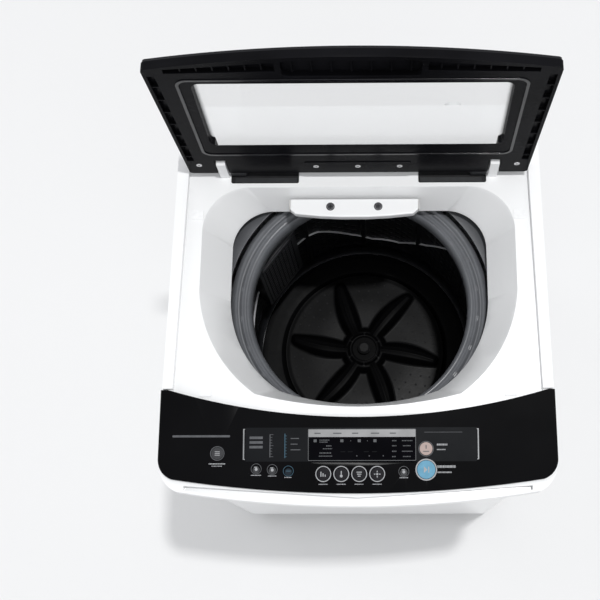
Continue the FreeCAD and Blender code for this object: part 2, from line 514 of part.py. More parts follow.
pocket(car, sketch(car, "holes", "XY_Plane", [("circle", x, y, d.rod_r + 1.0) for x, y in SP], d.arm_z), None, "rod_holes", reverse=True)

# ---------------------------------------------------------------- basket (spins)
bs = body("basket_shell")
BR, bt = d.basket_r, d.basket_th
rev(bs, sketch(bs, "wall", "XZ_Plane", [[(d.base_r + 0.2, d.base_z + 2), (d.base_r + 5, d.base_z + 4), (BR, d.basket_low_z + 4), (BR, d.ring_low_z - 2), (BR + bt, d.ring_low_z - 2), (BR + bt, d.basket_low_z + 3.6), (d.base_r + 5.8, d.base_z + 3), (d.base_r + 0.2, d.base_z + 0.8)]]))
bb_ = body("basket_base")
rev(bb_, sketch(bb_, "dish", "XZ_Plane", [[(20, d.base_z - 14), (d.puls_r + 2, d.base_z - 14), (d.puls_r + 10, d.base_z - 4), (d.base_r, d.base_z - 2), (d.base_r, d.base_z + 2), (d.puls_r + 8, d.base_z), (d.puls_r + 0.5, d.base_z - 10), (20, d.base_z - 10)]]))
br_ = body("balance_ring")
ri, ro, rt_, rl = d.ring_in_r, d.ring_out_r, d.ring_top_z, d.ring_low_z
rev(br_, sketch(br_, "section", "XZ_Plane", [[(ri, rl + 6), (ri + 4, rl), (ro + 2, rl - 2), (ro + 3.4, rl), (ro + 3.4, rt_ - 9), (ro, rt_ - 5), (ro - 6, rt_ - 2, 0), (ro - 10, rt_ - 5.5), (ro - 13, rt_ - 5.5), (ro - 16, rt_ - 3), (ro - 20, rt_ - 7), (ri + 5, rt_ - 8), (ri, rt_ - 12)]]))
flange = body("basket_flange")
pad(flange, sketch(flange, "disc", "XY_Plane", [("circle", 0, 0, 70), ("circle", 0, 0, 20)], 440), 6, "disc")
f = pad(flange, sketch(flange, "arm", "XY_Plane", [rect(60, -14, 150, 14)], 440), 6, "arm")
polar(flange, f, 3, "arms")
tube = body("spin_shaft")
rev(tube, sketch(tube, "tube", "XZ_Plane", [[(d.shaft_r + d.run_gap, 340), (d.tube_r, 340), (d.tube_r, 439.9), (19.9, 440), (19.9, 450.0), (d.shaft_r + d.run_gap, 450.0)]]))

# ---------------------------------------------------------------- pulsator (turns on its own shaft)
pu = body("pulsator")
pr_, pz, hz = d.puls_r, d.puls_z, d.puls_z + d.vane_h
rev(pu, sketch(pu, "disc", "XZ_Plane", [[(7.9, pz - 13), (40, pz - 13), (pr_ - 10, pz - 8), (pr_, pz - 3), (pr_, pz), (pr_ - 12, pz - 1.5), (70, pz - 2), (34, pz + 2), (d.hub_r, hz + 4), (d.hub_r - 6, hz + 8), (7.9, hz + 8)]]))
vs = [(18, -7, 2.0), (134, -9, 1.2), (139, 0, 1.2), (134, 9, 2.0), (18, 7)]
f = pad(pu, sketch(pu, "vane", "XY_Plane", [[(16, -6.5), (132, -10), (141, -2), (138, 9), (70, 9.5), (16, 6.5)]], pz - 3), d.vane_h + 1, "vane")
polar(pu, f, 6, "vanes")
cap = body("pulsator_cap")
rev(cap, sketch(cap, "cap", "XZ_Plane", [[(0, hz + 8), (12, hz + 8), (12, hz + 11), (8, hz + 13.5), (0, hz + 13.5)]]))
ws = body("wash_shaft")
rev(ws, sketch(ws, "rod", "XZ_Plane", [[(0, 270), (d.shaft_r, 270), (d.shaft_r, 453), (7.9, 453), (7.9, hz + 8), (0, hz + 8)]]))
pl = body("drive_pulley")
bz = d.belt_z
rev(pl, sketch(pl, "wheel", "XZ_Plane", [[(d.shaft_r, bz - 8), (20, bz - 8), (20, bz - 3), (d.pulley_r - 8, bz - 3), (d.pulley_r - 8, bz - 7), (d.pulley_r + 3, bz - 7), (d.pulley_r, bz - 5), (d.pulley_r, bz + 5), (d.pulley_r + 3, bz + 7), (d.pulley_r - 8, bz + 7), (d.pulley_r - 8, bz + 3), (20, bz + 3), (20, bz + 8), (d.shaft_r, bz + 8)]]))
f = pocket(pl, sketch(pl, "hole", "XY_Plane", [("circle", 50, 0, 20)], bz), None, "light_hole", both=True)
polar(pl, f, 4, "light_holes")

# ---------------------------------------------------------------- drive on the tub
ch = body("clutch_housing")
rev(ch, sketch(ch, "case", "XZ_Plane", [[(d.tube_r + 7.0, 330), (62, 330), (70, 338), (70, 400), (85, 412), (85, d.arm_z), (d.tube_r + 7.0, d.arm_z)]]))
bu = body("spin_bearings")
rev(bu, sketch(bu, "upper_race", "XZ_Plane", [[(d.tube_r + 0.05, 404), (d.tube_r + 7.0, 404), (d.tube_r + 7.0, 418), (d.tube_r + 0.05, 418)]]), "upper")
rev(bu, sketch(bu, "lower_race", "XZ_Plane", [[(d.tube_r + 0.05, 341), (d.tube_r + 7.0, 341), (d.tube_r + 7.0, 355), (d.tube_r + 0.05, 355)]]), "lower")
se = body("shaft_seal")
rev(se, sketch(se, "lip", "XZ_Plane", [[(d.tube_r + 0.1, 424), (31.5, 424), (31.5, 428), (29.9, 428), (29.9, 434), (d.tube_r + 0.1, 434)]]))
mx, my, mr = d.motor_x, d.motor_y, d.motor_r
mo = body("motor")
pad(mo, sketch(mo, "can", "XY_Plane", [("circle", mx, my, mr)], 318), 84, "can")
pocket(mo, sketch(mo, "bore", "XY_Plane", [("circle", mx, my, 7.05)], 318), None, "bore", reverse=True)
mb = body("motor_bracket")
pad(mb, sketch(mb, "plate", "XY_Plane", [[(87, 28), (200, 15), (220, 60), (200, 115), (110, 115), (62, 72)]], 404), 4, "plate")
pad(mb, sketch(mb, "posts", "XY_Plane", [("circle", 86, 50, 8), ("circle", 88, 78, 5)], 404), d.arm_z - 404, "posts")
mp = body("motor_pulley")
pad(mp, sketch(mp, "shaft", "XY_Plane", [("circle", mx, my, 7)], bz - 8), 98, "shaft")
pad(mp, sketch(mp, "wheel", "XY_Plane", [("circle", mx, my, d.mpulley_r)], bz - 6), 12, "wheel")
dist = math.hypot(val(mx), val(my))
# belt: straight runs tangent to both pulleys, 0.4 mm clear of them
be = body("drive_belt")
ux, uy = val(mx) / dist, val(my) / dist


def belt_loop(g):
    R1, R2 = val(d.pulley_r) + g, val(d.mpulley_r) + g
    al = math.acos((R1 - R2) / dist)
    th0 = math.atan2(uy, ux)
    p = []
    a1, a2 = th0 + al, th0 - al
    A = (R1 * math.cos(a1), R1 * math.sin(a1))
    B = (R1 * math.cos(a2), R1 * math.sin(a2))
    C = (val(mx) + R2 * math.cos(a2), val(my) + R2 * math.sin(a2))
    D = (val(mx) + R2 * math.cos(a1), val(my) + R2 * math.sin(a1))
    M = (-R1 * ux, -R1 * uy)
    N = (val(mx) + R2 * ux, val(my) + R2 * uy)

    def sagitta(R, p0, p1):
        c = math.hypot(p1[0] - p0[0], p1[1] - p0[1])
        return R - math.sqrt(max(R * R - c * c / 4, 0))
    return [(A[0], A[1], sagitta(R1, A, M)), (M[0], M[1], sagitta(R1, M, B)), (B[0], B[1]), (C[0], C[1], sagitta(R2, C, N)), (N[0], N[1], sagitta(R2, N, D)), (D[0], D[1])]


pad(be, sketch(be, "loop", "XY_Plane", [belt_loop(4.4), belt_loop(0.4)], bz - 4), 8, "loop")
dv = body("drain_valve")
pad(dv, sketch(dv, "body", "XY_Plane", [("circle", -150, 20, 24)], 380), 48, "chamber")
pad(dv, sketch(dv, "motor", "XY_Plane", [rect(-200, -10, -172, 50)], 386), 30, "actuator")

# ---------------------------------------------------------------- lint filter in the basket
fh = body("filter_housing")
ang = math.atan2(96, -131)
fx, fyy = math.cos(ang), math.sin(ang)
FR = 200.9


def pol(r_, a_):
    return (r_ * math.cos(a_), r_ * math.sin(a_))


A0, A1 = ang - 0.235, ang + 0.235
sag = FR * (1 - math.cos(0.235))
p0, p1 = pol(FR, A0), pol(FR, A1)
q0, q1 = (p0[0] - 24 * fx, p0[1] - 24 * fyy), (p1[0] - 24 * fx, p1[1] - 24 * fyy)
pad(fh, sketch(fh, "plan", "XY_Plane", [[(p0[0], p0[1], sag), (p1[0], p1[1]), (q1[0], q1[1]), (q0[0], q0[1])]], 560), 200, "box")
m0 = ((p0[0] + q0[0]) / 2, (p0[1] + q0[1]) / 2)
nx, ny = -fy if False else -fyy, fx


def fr(u, w):
    """Point at depth w from the wall chord towards the axis and u along it."""
    cxm, cym = (p0[0] + p1[0]) / 2, (p0[1] + p1[1]) / 2
    return (cxm - fx * w + nx * u, cym - fyy * w + ny * u)


hwid = math.hypot(p1[0] - p0[0], p1[1] - p0[1]) / 2
pocket(fh, sketch(fh, "slot", "XY_Plane", [[fr(-hwid + 6, 3), fr(-hwid + 6, 26), fr(hwid - 6, 26), fr(hwid - 6, 3)]], 754), 186, "slot")
ff = body("lint_filter")
pad(ff, sketch(ff, "frame", "XY_Plane", [[fr(-hwid + 6.5, 12), fr(-hwid + 6.5, 25), fr(hwid - 6.5, 25), fr(hwid - 6.5, 12)]], 568.5), 185, "frame")
pocket(ff, sketch(ff, "mesh_room", "XY_Plane", [[fr(-hwid + 10, 8), fr(-hwid + 10, 22.5), fr(hwid - 10, 22.5), fr(hwid - 10, 8)]], 746), 170, "mesh_room")

# ---------------------------------------------------------------- fixed parts inside the cabinet
iv = body("inlet_valve")
pad(iv, sketch(iv, "body", "XY_Plane", [rect(d.spigot_x - 34, 258, d.spigot_x + 34, 280)], 850), 34, "body")
pad(iv, sketch(iv, "neck", "XZ_Plane", [("circle", d.spigot_x, d.spigot_z, d.spigot_r - 0.7)], -d.rear_y), d.rear_y - 278, "neck")
pad(iv, sketch(iv, "spigot", "XZ_Plane", [("circle", d.spigot_x, d.spigot_z, d.spigot_r)], -(d.rear_y + d.stub_len)), d.stub_len, "spigot")
pocket(iv, sketch(iv, "way", "XZ_Plane", [("circle", d.spigot_x, d.spigot_z, 8)], -(d.rear_y + d.stub_len)), 30, "way", reverse=True)
ps = body("pressure_switch")
pad(ps, sketch(ps, "can", "XY_Plane", [("circle", -225, 235, 24)], 845), 26, "can")
do = body("drain_outlet")
pad(do, sketch(do, "inner", "XZ_Plane", [("circle", d.drain_x, d.drain_z, d.drain_r - 0.6), ("circle", d.drain_x, d.drain_z, d.drain_r - 3)], -(d.cab_back + 2)), 34, "inner")
pad(do, sketch(do, "stub", "XZ_Plane", [("circle", d.drain_x, d.drain_z, d.drain_r), ("circle", d.drain_x, d.drain_z, d.drain_r - 3)], -(d.rear_y + d.stub_len)), d.rear_y + d.stub_len - d.cab_back - 2, "stub")
pad(do, sketch(do, "collar", "XZ_Plane", [("circle", d.drain_x, d.drain_z, 22), ("circle", d.drain_x, d.drain_z, d.drain_r - 1)], -(d.cab_back - 2)), 4, "collar")

doc.recompute()

# ---------------------------------------------------------------- checks and export
bad = []
for o in doc.Objects:
    st = [str(x) for x in o.State]
    if "Invalid" in st or "Error" in st:
        bad.append((o.Name, o.Label, st))
for b in PARTS:
    shp = b.Shape
    if shp.isNull() or not shp.isValid() or not shp.Solids:
        bad.append((b.Label, "shape", shp.isNull()))
if bad:
    raise RuntimeError("bad objects: %r" % bad[:20])
os.makedirs("parts", exist_ok=True)
for b in PARTS:
    b.Shape.exportStep("parts/%s.step" % b.Label)
    bb = b.Shape.BoundBox
    print("%-20s vol %10.0f n %d  x %.0f %.0f y %.0f %.0f z %.0f %.0f" % (b.Label, b.Shape.Volume, len(b.Shape.Solids), bb.XMin, bb.XMax, bb.YMin, bb.YMax, bb.ZMin, bb.ZMax))
print("parts", len(PARTS), "pin", round(pin_y, 3), round(pin_z, 3))
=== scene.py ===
import json
import math
import bpy
import bmesh
from mathutils import Matrix, Vector


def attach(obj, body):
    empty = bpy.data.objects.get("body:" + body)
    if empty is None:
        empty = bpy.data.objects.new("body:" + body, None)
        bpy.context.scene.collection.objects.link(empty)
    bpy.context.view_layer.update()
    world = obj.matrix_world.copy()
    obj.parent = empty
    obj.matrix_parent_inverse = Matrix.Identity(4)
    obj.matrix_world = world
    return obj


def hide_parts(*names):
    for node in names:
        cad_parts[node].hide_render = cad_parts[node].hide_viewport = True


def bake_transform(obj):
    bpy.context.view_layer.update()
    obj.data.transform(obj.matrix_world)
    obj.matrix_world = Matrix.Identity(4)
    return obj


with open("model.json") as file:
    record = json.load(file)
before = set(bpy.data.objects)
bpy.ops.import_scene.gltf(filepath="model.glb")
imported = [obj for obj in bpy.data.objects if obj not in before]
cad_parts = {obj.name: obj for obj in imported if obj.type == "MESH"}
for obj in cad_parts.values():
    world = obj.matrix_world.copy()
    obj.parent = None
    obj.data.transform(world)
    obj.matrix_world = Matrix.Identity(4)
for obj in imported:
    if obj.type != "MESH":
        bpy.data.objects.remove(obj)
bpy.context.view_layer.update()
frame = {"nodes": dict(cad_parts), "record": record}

NODES = frame["nodes"]
A = math.radians(9.8)
LEAN = math.radians(1.5)
PANEL = Matrix.Translation((0, -0.150, 0.905)) @ Matrix.Rotation(A, 4, "X")
LID = Matrix.Translation((0, 0.183, 0.908)) @ Matrix.Rotation(math.radians(88.5), 4, "X")
ONE = Matrix.Identity(4)


# ------------------------------------------------------------------ materials
def shader(name, col, rough=0.4, metal=0.0, var=0.05, vscale=18.0, bump=0.0, bscale=350.0, coat=0.0, rvar=0.06, stretch=None, spec=0.5, matte=0.0):
    m = bpy.data.materials.new(name)
    m.use_nodes = True
    nt = m.node_tree
    b = nt.nodes["Principled BSDF"]
    b.inputs["Base Color"].default_value = (*col, 1)
    b.inputs["Roughness"].default_value = rough
    b.inputs["Metallic"].default_value = metal
    b.inputs["Coat Weight"].default_value = coat
    b.inputs["Coat Roughness"].default_value = 0.08
    tc = nt.nodes.new("ShaderNodeTexCoord")
    mp = nt.nodes.new("ShaderNodeMapping")
    nt.links.new(tc.outputs["Object"], mp.inputs["Vector"])
    if stretch:
        mp.inputs["Scale"].default_value = stretch
    n1 = nt.nodes.new("ShaderNodeTexNoise")
    n1.inputs["Scale"].default_value = vscale
    n1.inputs["Detail"].default_value = 5
    nt.links.new(mp.outputs["Vector"], n1.inputs["Vector"])
    ramp = nt.nodes.new("ShaderNodeValToRGB")
    ramp.color_ramp.elements[0].position = 0.3
    ramp.color_ramp.elements[1].position = 0.7
    ramp.color_ramp.elements[0].color = (*[max(0, c * (1 - var)) for c in col], 1)
    ramp.color_ramp.elements[1].color = (*[min(1, c * (1 + var)) for c in col], 1)
    nt.links.new(n1.outputs["Fac"], ramp.inputs["Fac"])
    nt.links.new(ramp.outputs["Color"], b.inputs["Base Color"])
    n2 = nt.nodes.new("ShaderNodeTexNoise")
    n2.inputs["Scale"].default_value = vscale * 2.7
    n2.inputs["Detail"].default_value = 6
    nt.links.new(mp.outputs["Vector"], n2.inputs["Vector"])
    mr = nt.nodes.new("ShaderNodeMapRange")
    mr.inputs["To Min"].default_value = max(0.02, rough - rvar)
    mr.inputs["To Max"].default_value = min(1.0, rough + rvar)
    nt.links.new(n2.outputs["Fac"], mr.inputs["Value"])
    nt.links.new(mr.outputs["Result"], b.inputs["Roughness"])
    if bump:
        n3 = nt.nodes.new("ShaderNodeTexNoise")
        n3.inputs["Scale"].default_value = bscale
        n3.inputs["Detail"].default_value = 3
        nt.links.new(mp.outputs["Vector"], n3.inputs["Vector"])
        bp = nt.nodes.new("ShaderNodeBump")
        bp.inputs["Strength"].default_value = bump
        bp.inputs["Distance"].default_value = 0.0006
        nt.links.new(n3.outputs["Fac"], bp.inputs["Height"])
        nt.links.new(bp.outputs["Normal"], b.inputs["Normal"])
    b.inputs["Specular IOR Level"].default_value = spec
    if matte:
        df = nt.nodes.new("ShaderNodeBsdfDiffuse")
        nt.links.new(ramp.outputs["Color"], df.inputs["Color"])
        mx = nt.nodes.new("ShaderNodeMixShader")
        mx.inputs[0].default_value = matte
        nt.links.new(b.outputs[0], mx.inputs[1])
        nt.links.new(df.outputs[0], mx.inputs[2])
        nt.links.new(mx.outputs[0], nt.nodes["Material Output"].inputs["Surface"])
    return m


M = {
    "white_plastic": shader("white_plastic", (0.865, 0.87, 0.873), 0.30, var=0.010, vscale=6, bump=0.10, bscale=900, coat=0.2),
    "panel_black": shader("panel_black", (0.0035, 0.0035, 0.004), 0.22, var=0.25, vscale=8, bump=0.05, bscale=500, rvar=0.05, spec=0.07, matte=0.5),
    "display_glass": shader("display_glass", (0.002, 0.002, 0.003), 0.12, var=0.3, vscale=20, bump=0.03, rvar=0.04, spec=0.06, matte=0.5),
    "silver_trim": shader("silver_trim", (0.16, 0.165, 0.17), 0.35, metal=0.5, var=0.10, vscale=60, bump=0.1, stretch=(1, 30, 1)),
    "key_grey": shader("key_grey", (0.030, 0.031, 0.034), 0.35, var=0.10, vscale=120, bump=0.15, spec=0.3),
    "key_cream": shader("key_cream", (0.36, 0.27, 0.245), 0.35, var=0.06, vscale=120, bump=0.12),
    "key_blue": shader("key_blue", (0.105, 0.29, 0.42), 0.3, var=0.10, vscale=120, bump=0.08, spec=0.4),
    "key_dark": shader("key_dark", (0.010, 0.010, 0.012), 0.25, var=0.2, vscale=90, bump=0.08, spec=0.15),
    "board_green": shader("board_green", (0.03, 0.16, 0.06), 0.5, var=0.35, vscale=90, bump=0.5, bscale=420),
    "screw_dark": shader("screw_dark", (0.055, 0.055, 0.06), 0.36, metal=0.5, var=0.15, vscale=260, bump=0.2),
    "pad_rubber": shader("pad_rubber", (0.86, 0.865, 0.87), 0.55, var=0.04, vscale=160, bump=0.3),
    "foot_rubber": shader("foot_rubber", (0.03, 0.03, 0.032), 0.75, var=0.25, vscale=90, bump=0.7),
    "pin_steel": shader("pin_steel", (0.50, 0.50, 0.52), 0.26, metal=1, var=0.10, vscale=40, bump=0.12, stretch=(1, 1, 0.1)),
    "hinge_grey": shader("hinge_grey", (0.016, 0.017, 0.019), 0.45, var=0.2, vscale=120, bump=0.4, spec=0.3),
    "lid_black": shader("lid_black", (0.0060, 0.0060, 0.0072), 0.24, var=0.3, vscale=10, bump=0.06, bscale=500, rvar=0.07, spec=0.12, matte=0.66),
    "screw_steel": shader("screw_steel", (0.62, 0.62, 0.63), 0.3, metal=0.35, var=0.08, vscale=260, bump=0.12),
    "cabinet_white": shader("cabinet_white", (0.88, 0.885, 0.89), 0.32, var=0.015, vscale=5, bump=0.18, bscale=600, coat=0.35),
    "zinc_sheet": shader("zinc_sheet", (0.60, 0.61, 0.63), 0.40, metal=0.8, var=0.045, vscale=60, bump=0.12, rvar=0.04),
    "spring_steel": shader("spring_steel", (0.30, 0.30, 0.32), 0.34, metal=1, var=0.15, vscale=80, bump=0.15),
    "tub_plastic": shader("tub_plastic", (0.66, 0.67, 0.69), 0.5, var=0.04, vscale=14, bump=0.3, bscale=420),
    "tub_ring_grey": shader("tub_ring_grey", (0.085, 0.088, 0.095), 0.42, var=0.12, vscale=26, bump=0.2),
    "basket_steel": shader("basket_steel", (0.020, 0.021, 0.024), 0.42, metal=0.6, var=0.25, vscale=30, bump=0.2, bscale=240, stretch=(1, 1, 0.4)),
    "base_grey": shader("base_grey", (0.0035, 0.0036, 0.004), 0.45, var=0.2, vscale=30, bump=0.25, spec=0.3, matte=0.8),
    "ring_grey": shader("ring_grey", (0.12, 0.125, 0.135), 0.30, var=0.10, vscale=26, bump=0.12),
    "cast_alloy": shader("cast_alloy", (0.55, 0.56, 0.57), 0.48, metal=0.95, var=0.12, vscale=60, bump=0.6, bscale=320),
    "pulsator_grey": shader("pulsator_grey", (0.0105, 0.0106, 0.011), 0.36, var=0.16, vscale=40, bump=0.2, spec=0.3, matte=0.75),
    "bearing_steel": shader("bearing_steel", (0.55, 0.55, 0.57), 0.22, metal=1, var=0.08, vscale=90, bump=0.08),
    "seal_rubber": shader("seal_rubber", (0.022, 0.022, 0.024), 0.65, var=0.25, vscale=90, bump=0.5),
    "motor_metal": shader("motor_metal", (0.24, 0.25, 0.27), 0.42, metal=0.6, var=0.12, vscale=40, bump=0.3),
    "motor_pulley_steel": shader("motor_pulley_steel", (0.48, 0.49, 0.51), 0.3, metal=1, var=0.1, vscale=70, bump=0.15),
    "valve_plastic": shader("valve_plastic", (0.74, 0.75, 0.75), 0.42, var=0.05, vscale=50, bump=0.25),
    "filter_grey": shader("filter_grey", (0.030, 0.031, 0.034), 0.42, var=0.14, vscale=50, bump=0.25, spec=0.3),
}


def lid_glass_material():
    """Clear pane with a black printed border and a soft grey edge between them."""
    m = bpy.data.materials.new("lid_clear")
    m.use_nodes = True
    nt = m.node_tree
    out = nt.nodes["Material Output"]
    black = nt.nodes["Principled BSDF"]
    black.inputs["Base Color"].default_value = (0.014, 0.014, 0.016, 1)
    black.inputs["Roughness"].default_value = 0.16
    black.inputs["Specular IOR Level"].default_value = 0.2
    clear = nt.nodes.new("ShaderNodeBsdfPrincipled")
    clear.inputs["Base Color"].default_value = (0.70, 0.71, 0.72, 1)
    clear.inputs["Roughness"].default_value = 0.05
    clear.inputs["Alpha"].default_value = 0.14
    clear.inputs["IOR"].default_value = 1.45
    tc = nt.nodes.new("ShaderNodeTexCoord")
    sep = nt.nodes.new("ShaderNodeSeparateXYZ")
    nt.links.new(tc.outputs["Object"], sep.inputs["Vector"])

    def math_node(op, a, b=None, clamp=False):
        n = nt.nodes.new("ShaderNodeMath")
        n.operation = op
        n.use_clamp = clamp
        for i, v in enumerate((a, b)):
            if v is None:
                continue
            if isinstance(v, (int, float)):
                n.inputs[i].default_value = v
            else:
                nt.links.new(v, n.inputs[i])
        return n.outputs[0]

    # rounded box distance in the lid's own plane (x, height)
    ax = math_node("ABSOLUTE", sep.outputs["X"])
    zc = math_node("ABSOLUTE", math_node("SUBTRACT", sep.outputs["Z"], 0.908 + 0.170))
    # half width grows a little towards the hinge
    hw = math_node("ADD", math_node("MULTIPLY", math_node("SUBTRACT", 1.078, sep.outputs["Z"]), 0.010), 0.2165)
    r = 0.014
    qx = math_node("MAXIMUM", math_node("SUBTRACT", math_node("ADD", ax, r), hw), 0.0)
    qz = math_node("MAXIMUM", math_node("SUBTRACT", math_node("ADD", zc, r), 0.117), 0.0)
    dist = math_node("SUBTRACT", math_node("SQRT", math_node("ADD", math_node("MULTIPLY", qx, qx), math_node("MULTIPLY", qz, qz))), r)
    ns = nt.nodes.new("ShaderNodeTexNoise")
    ns.inputs["Scale"].default_value = 25
    nt.links.new(tc.outputs["Object"], ns.inputs["Vector"])
    dist2 = math_node("ADD", dist, math_node("MULTIPLY", math_node("SUBTRACT", ns.outputs["Fac"], 0.5), 0.0006))
    mr = nt.nodes.new("ShaderNodeMapRange")
    mr.inputs["From Min"].default_value = -0.013
    mr.inputs["From Max"].default_value = -0.001
    mr.interpolation_type = "SMOOTHSTEP"
    mr.clamp = True
    nt.links.new(dist2, mr.inputs["Value"])
    mix = nt.nodes.new("ShaderNodeMixShader")
    nt.links.new(mr.outputs["Result"], mix.inputs[0])
    nt.links.new(clear.outputs[0], mix.inputs[1])
    nt.links.new(black.outputs[0], mix.inputs[2])
    nt.links.new(mix.outputs[0], out.inputs["Surface"])
    return m


M["lid_clear"] = lid_glass_material()
M["print_white"] = shader("print_white", (0.33, 0.335, 0.345), 0.45, var=0.12, vscale=220, bump=0.05, spec=0.2)
M["print_grey"] = shader("print_grey", (0.085, 0.088, 0.094), 0.45, var=0.15, vscale=220, bump=0.05, spec=0.2)
M["print_blue"] = shader("print_blue", (0.035, 0.085, 0.12), 0.4, var=0.1, vscale=220, bump=0.05, spec=0.2)
M["panel_soft"] = shader("panel_soft", (0.0075, 0.0082, 0.0095), 0.25, var=0.2, vscale=14, bump=0.04, spec=0.08)
M["header_silver"] = shader("header_silver", (0.235, 0.235, 0.24), 0.4, metal=0.2, var=0.18, vscale=30, bump=0.06)
M["recess_black"] = shader("recess_black", (0.009, 0.009, 0.010), 0.5, var=0.3, vscale=80, bump=0.35, spec=0.2)
M["trim_line"] = shader("trim_line", (0.105, 0.108, 0.112), 0.4, var=0.12, vscale=90, bump=0.08, spec=0.3)
M["bracket_silver"] = shader("bracket_silver", (0.24, 0.245, 0.25), 0.32, metal=0.5, var=0.12, vscale=90, bump=0.08)
M["wash_dim"] = shader("wash_dim", (0.004, 0.012, 0.020), 0.35, var=0.2, vscale=120, bump=0.12, spec=0.2)
M["lid_gloss"] = shader("lid_gloss", (0.010, 0.010, 0.012), 0.14, var=0.25, vscale=14, bump=0.05, rvar=0.04, spec=0.45)
# near-black for the pulsator drain holes and the screw cross slots: painted shade inside holes and recesses
M["hole_shade_black"] = shader("hole_shade_black", (0.004, 0.004, 0.005), 0.8, var=0.3, vscale=200, bump=0.2)
M["seam_shadow"] = shader("seam_shadow", (0.66, 0.645, 0.62), 0.5, var=0.03, vscale=60, bump=0.2)
M["vane_dark"] = shader("vane_dark", (0.0022, 0.0022, 0.0025), 0.38, var=0.2, vscale=40, bump=0.2, spec=0.2, matte=0.86)
# pale colour for the upper bead and the raised wall lines of the dark steel basket: painted highlight on the steel
M["pale_painted_highlight"] = shader("pale_painted_highlight", (0.70, 0.70, 0.72), 0.3, metal=0.0, var=0.1, vscale=60, bump=0.1)

slot_of = {s["node"]: s["material_slot"] for s in frame["record"]["subparts"]}
BEVEL = {
    "top_cover": 0.0022, "control_panel": 0.0013, "lid_frame": 0.0012, "lid_glass": 0.0010, "inlet_box": 0.0007, "cabinet_wrap": 0.0003, "base_frame": 0.002,
    "hinge_arms": 0.0012, "hinge_ears": 0.0012, "lid_hinge_bar": 0.0004, "basket_base": 0.0012, "filter_housing": 0.0018, "lint_filter": 0.0012, "bumper_pads": 0.0005,
    "tub_carrier": 0.0006, "motor": 0.003, "clutch_housing": 0.0015, "outer_tub": 0.0008, "tub_top_ring": 0.001, "foot_pads": 0.0015, "lid_ridge": 0.0005,
    "inlet_valve": 0.0012, "drain_valve": 0.002, "pressure_switch": 0.0015, "drive_pulley": 0.0006, "motor_pulley": 0.0006, "pulsator_cap": 0.001, "screw": 0.0003,
    "inlet_screws": 0.0005, "lid_screws": 0.0003, "display_window": 0.0003,
}
for name, o in NODES.items():
    o.data.materials.clear()
    o.data.materials.append(M[slot_of[name]])
    if name in BEVEL:
        w = o.modifiers.new("weld", "WELD")
        w.merge_threshold = 0.00001
        bv = o.modifiers.new("bevel", "BEVEL")
        bv.width = BEVEL[name]
        bv.segments = 3
        bv.limit_method = "ANGLE"
        bv.angle_limit = math.radians(38)
        bv.harden_normals = name not in ("inlet_box",)


# ------------------------------------------------------------------ builders
def finish_mesh(name, verts, faces, mat, body, matrix=ONE, smooth=False, bevel=0.0, segs=2):
    me = bpy.data.meshes.new(name)
    me.from_pydata([tuple(matrix @ Vector(v)) for v in verts], [], faces)
    me.validate()
    bm = bmesh.new()
    bm.from_mesh(me)
    bmesh.ops.recalc_face_normals(bm, faces=bm.faces)
    bm.to_mesh(me)
    bm.free()
    o = bpy.data.objects.new(name, me)
    bpy.context.collection.objects.link(o)
    me.materials.append(M[mat] if isinstance(mat, str) else mat)
    if smooth:
        for p in me.polygons:
            p.use_smooth = True
    if bevel:
        bv = o.modifiers.new("bevel", "BEVEL")
        bv.width = bevel
        bv.segments = segs
        bv.limit_method = "ANGLE"
        bv.angle_limit = math.radians(35)
        bv.harden_normals = True
    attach(o, body)
    return o


def prism(name, loops, z0, z1, mat, body, matrix=ONE, bevel=0.0):
    """Flat outlines (lists of x, y) turned into plates between z0 and z1; several outlines make one object."""
    verts, faces = [], []
    for pts in loops:
        n, b = len(pts), len(verts)
        verts += [(x, y, z0) for x, y in pts] + [(x, y, z1) for x, y in pts]
        faces.append(list(range(b + n, b + 2 * n)))
        faces.append(list(range(b + n - 1, b - 1, -1)))
        for i in range(n):
            j = (i + 1) % n
            faces.append([b + i, b + j, b + n + j, b + n + i])
    return finish_mesh(name, verts, faces, mat, body, matrix, False, bevel)


def frame_loop(name, outer, inner, z0, z1, mat, body, matrix=ONE, bevel=0.0):
    """A ring plate between two outlines with the same number of points."""
    n = len(outer)
    verts = [(x, y, z0) for x, y in outer] + [(x, y, z1) for x, y in outer] + [(x, y, z0) for x, y in inner] + [(x, y, z1) for x, y in inner]
    faces = []
    for i in range(n):
        j = (i + 1) % n
        faces += [[i, j, n + j, n + i], [2 * n + i, 3 * n + i, 3 * n + j, 2 * n + j], [n + i, n + j, 3 * n + j, 3 * n + i], [i, 2 * n + i, 2 * n + j, j]]
    return finish_mesh(name, verts, faces, mat, body, matrix, False, bevel)


def lathe(name, prof, mat, body, seg=192, smooth=True, bevel=0.0):
    """A closed section (r, z) turned about the tub axis."""
    verts, faces = [], []
    n = len(prof)
    for i in range(seg):
        a = 2 * math.pi * i / seg
        verts += [(r * math.cos(a), r * math.sin(a), z) for r, z in prof]
    for i in range(seg):
        j = (i + 1) % seg
        for k in range(n):
            l = (k + 1) % n
            faces.append([i * n + k, j * n + k, j * n + l, i * n + l])
    o = finish_mesh(name, verts, faces, mat, body, ONE, False, bevel)
    if smooth:
        for p in o.data.polygons:
            p.use_smooth = True
        o.modifiers.new("split", "EDGE_SPLIT").split_angle = math.radians(40)
    return o


def rrect(x0, y0, x1, y1, r, n=6):
    pts = []
    for cx, cy, a0 in ((x1 - r, y1 - r, 0), (x0 + r, y1 - r, 90), (x0 + r, y0 + r, 180), (x1 - r, y0 + r, 270)):
        for i in range(n + 1):
            a = math.radians(a0 + 90 * i / n)
            pts.append((cx + r * math.cos(a), cy + r * math.sin(a)))
    return pts


def circle(cx, cy, r, n=40):
    return [(cx + r * math.cos(2 * math.pi * i / n), cy + r * math.sin(2 * math.pi * i / n)) for i in range(n)]


def mm(pts):
    return [(x / 1000.0, y / 1000.0) for x, y in pts]


# ------------------------------------------------------------------ control panel print (generic marks only)
U = 1e-3
Z0, Z1 = 0.00000, 0.00014


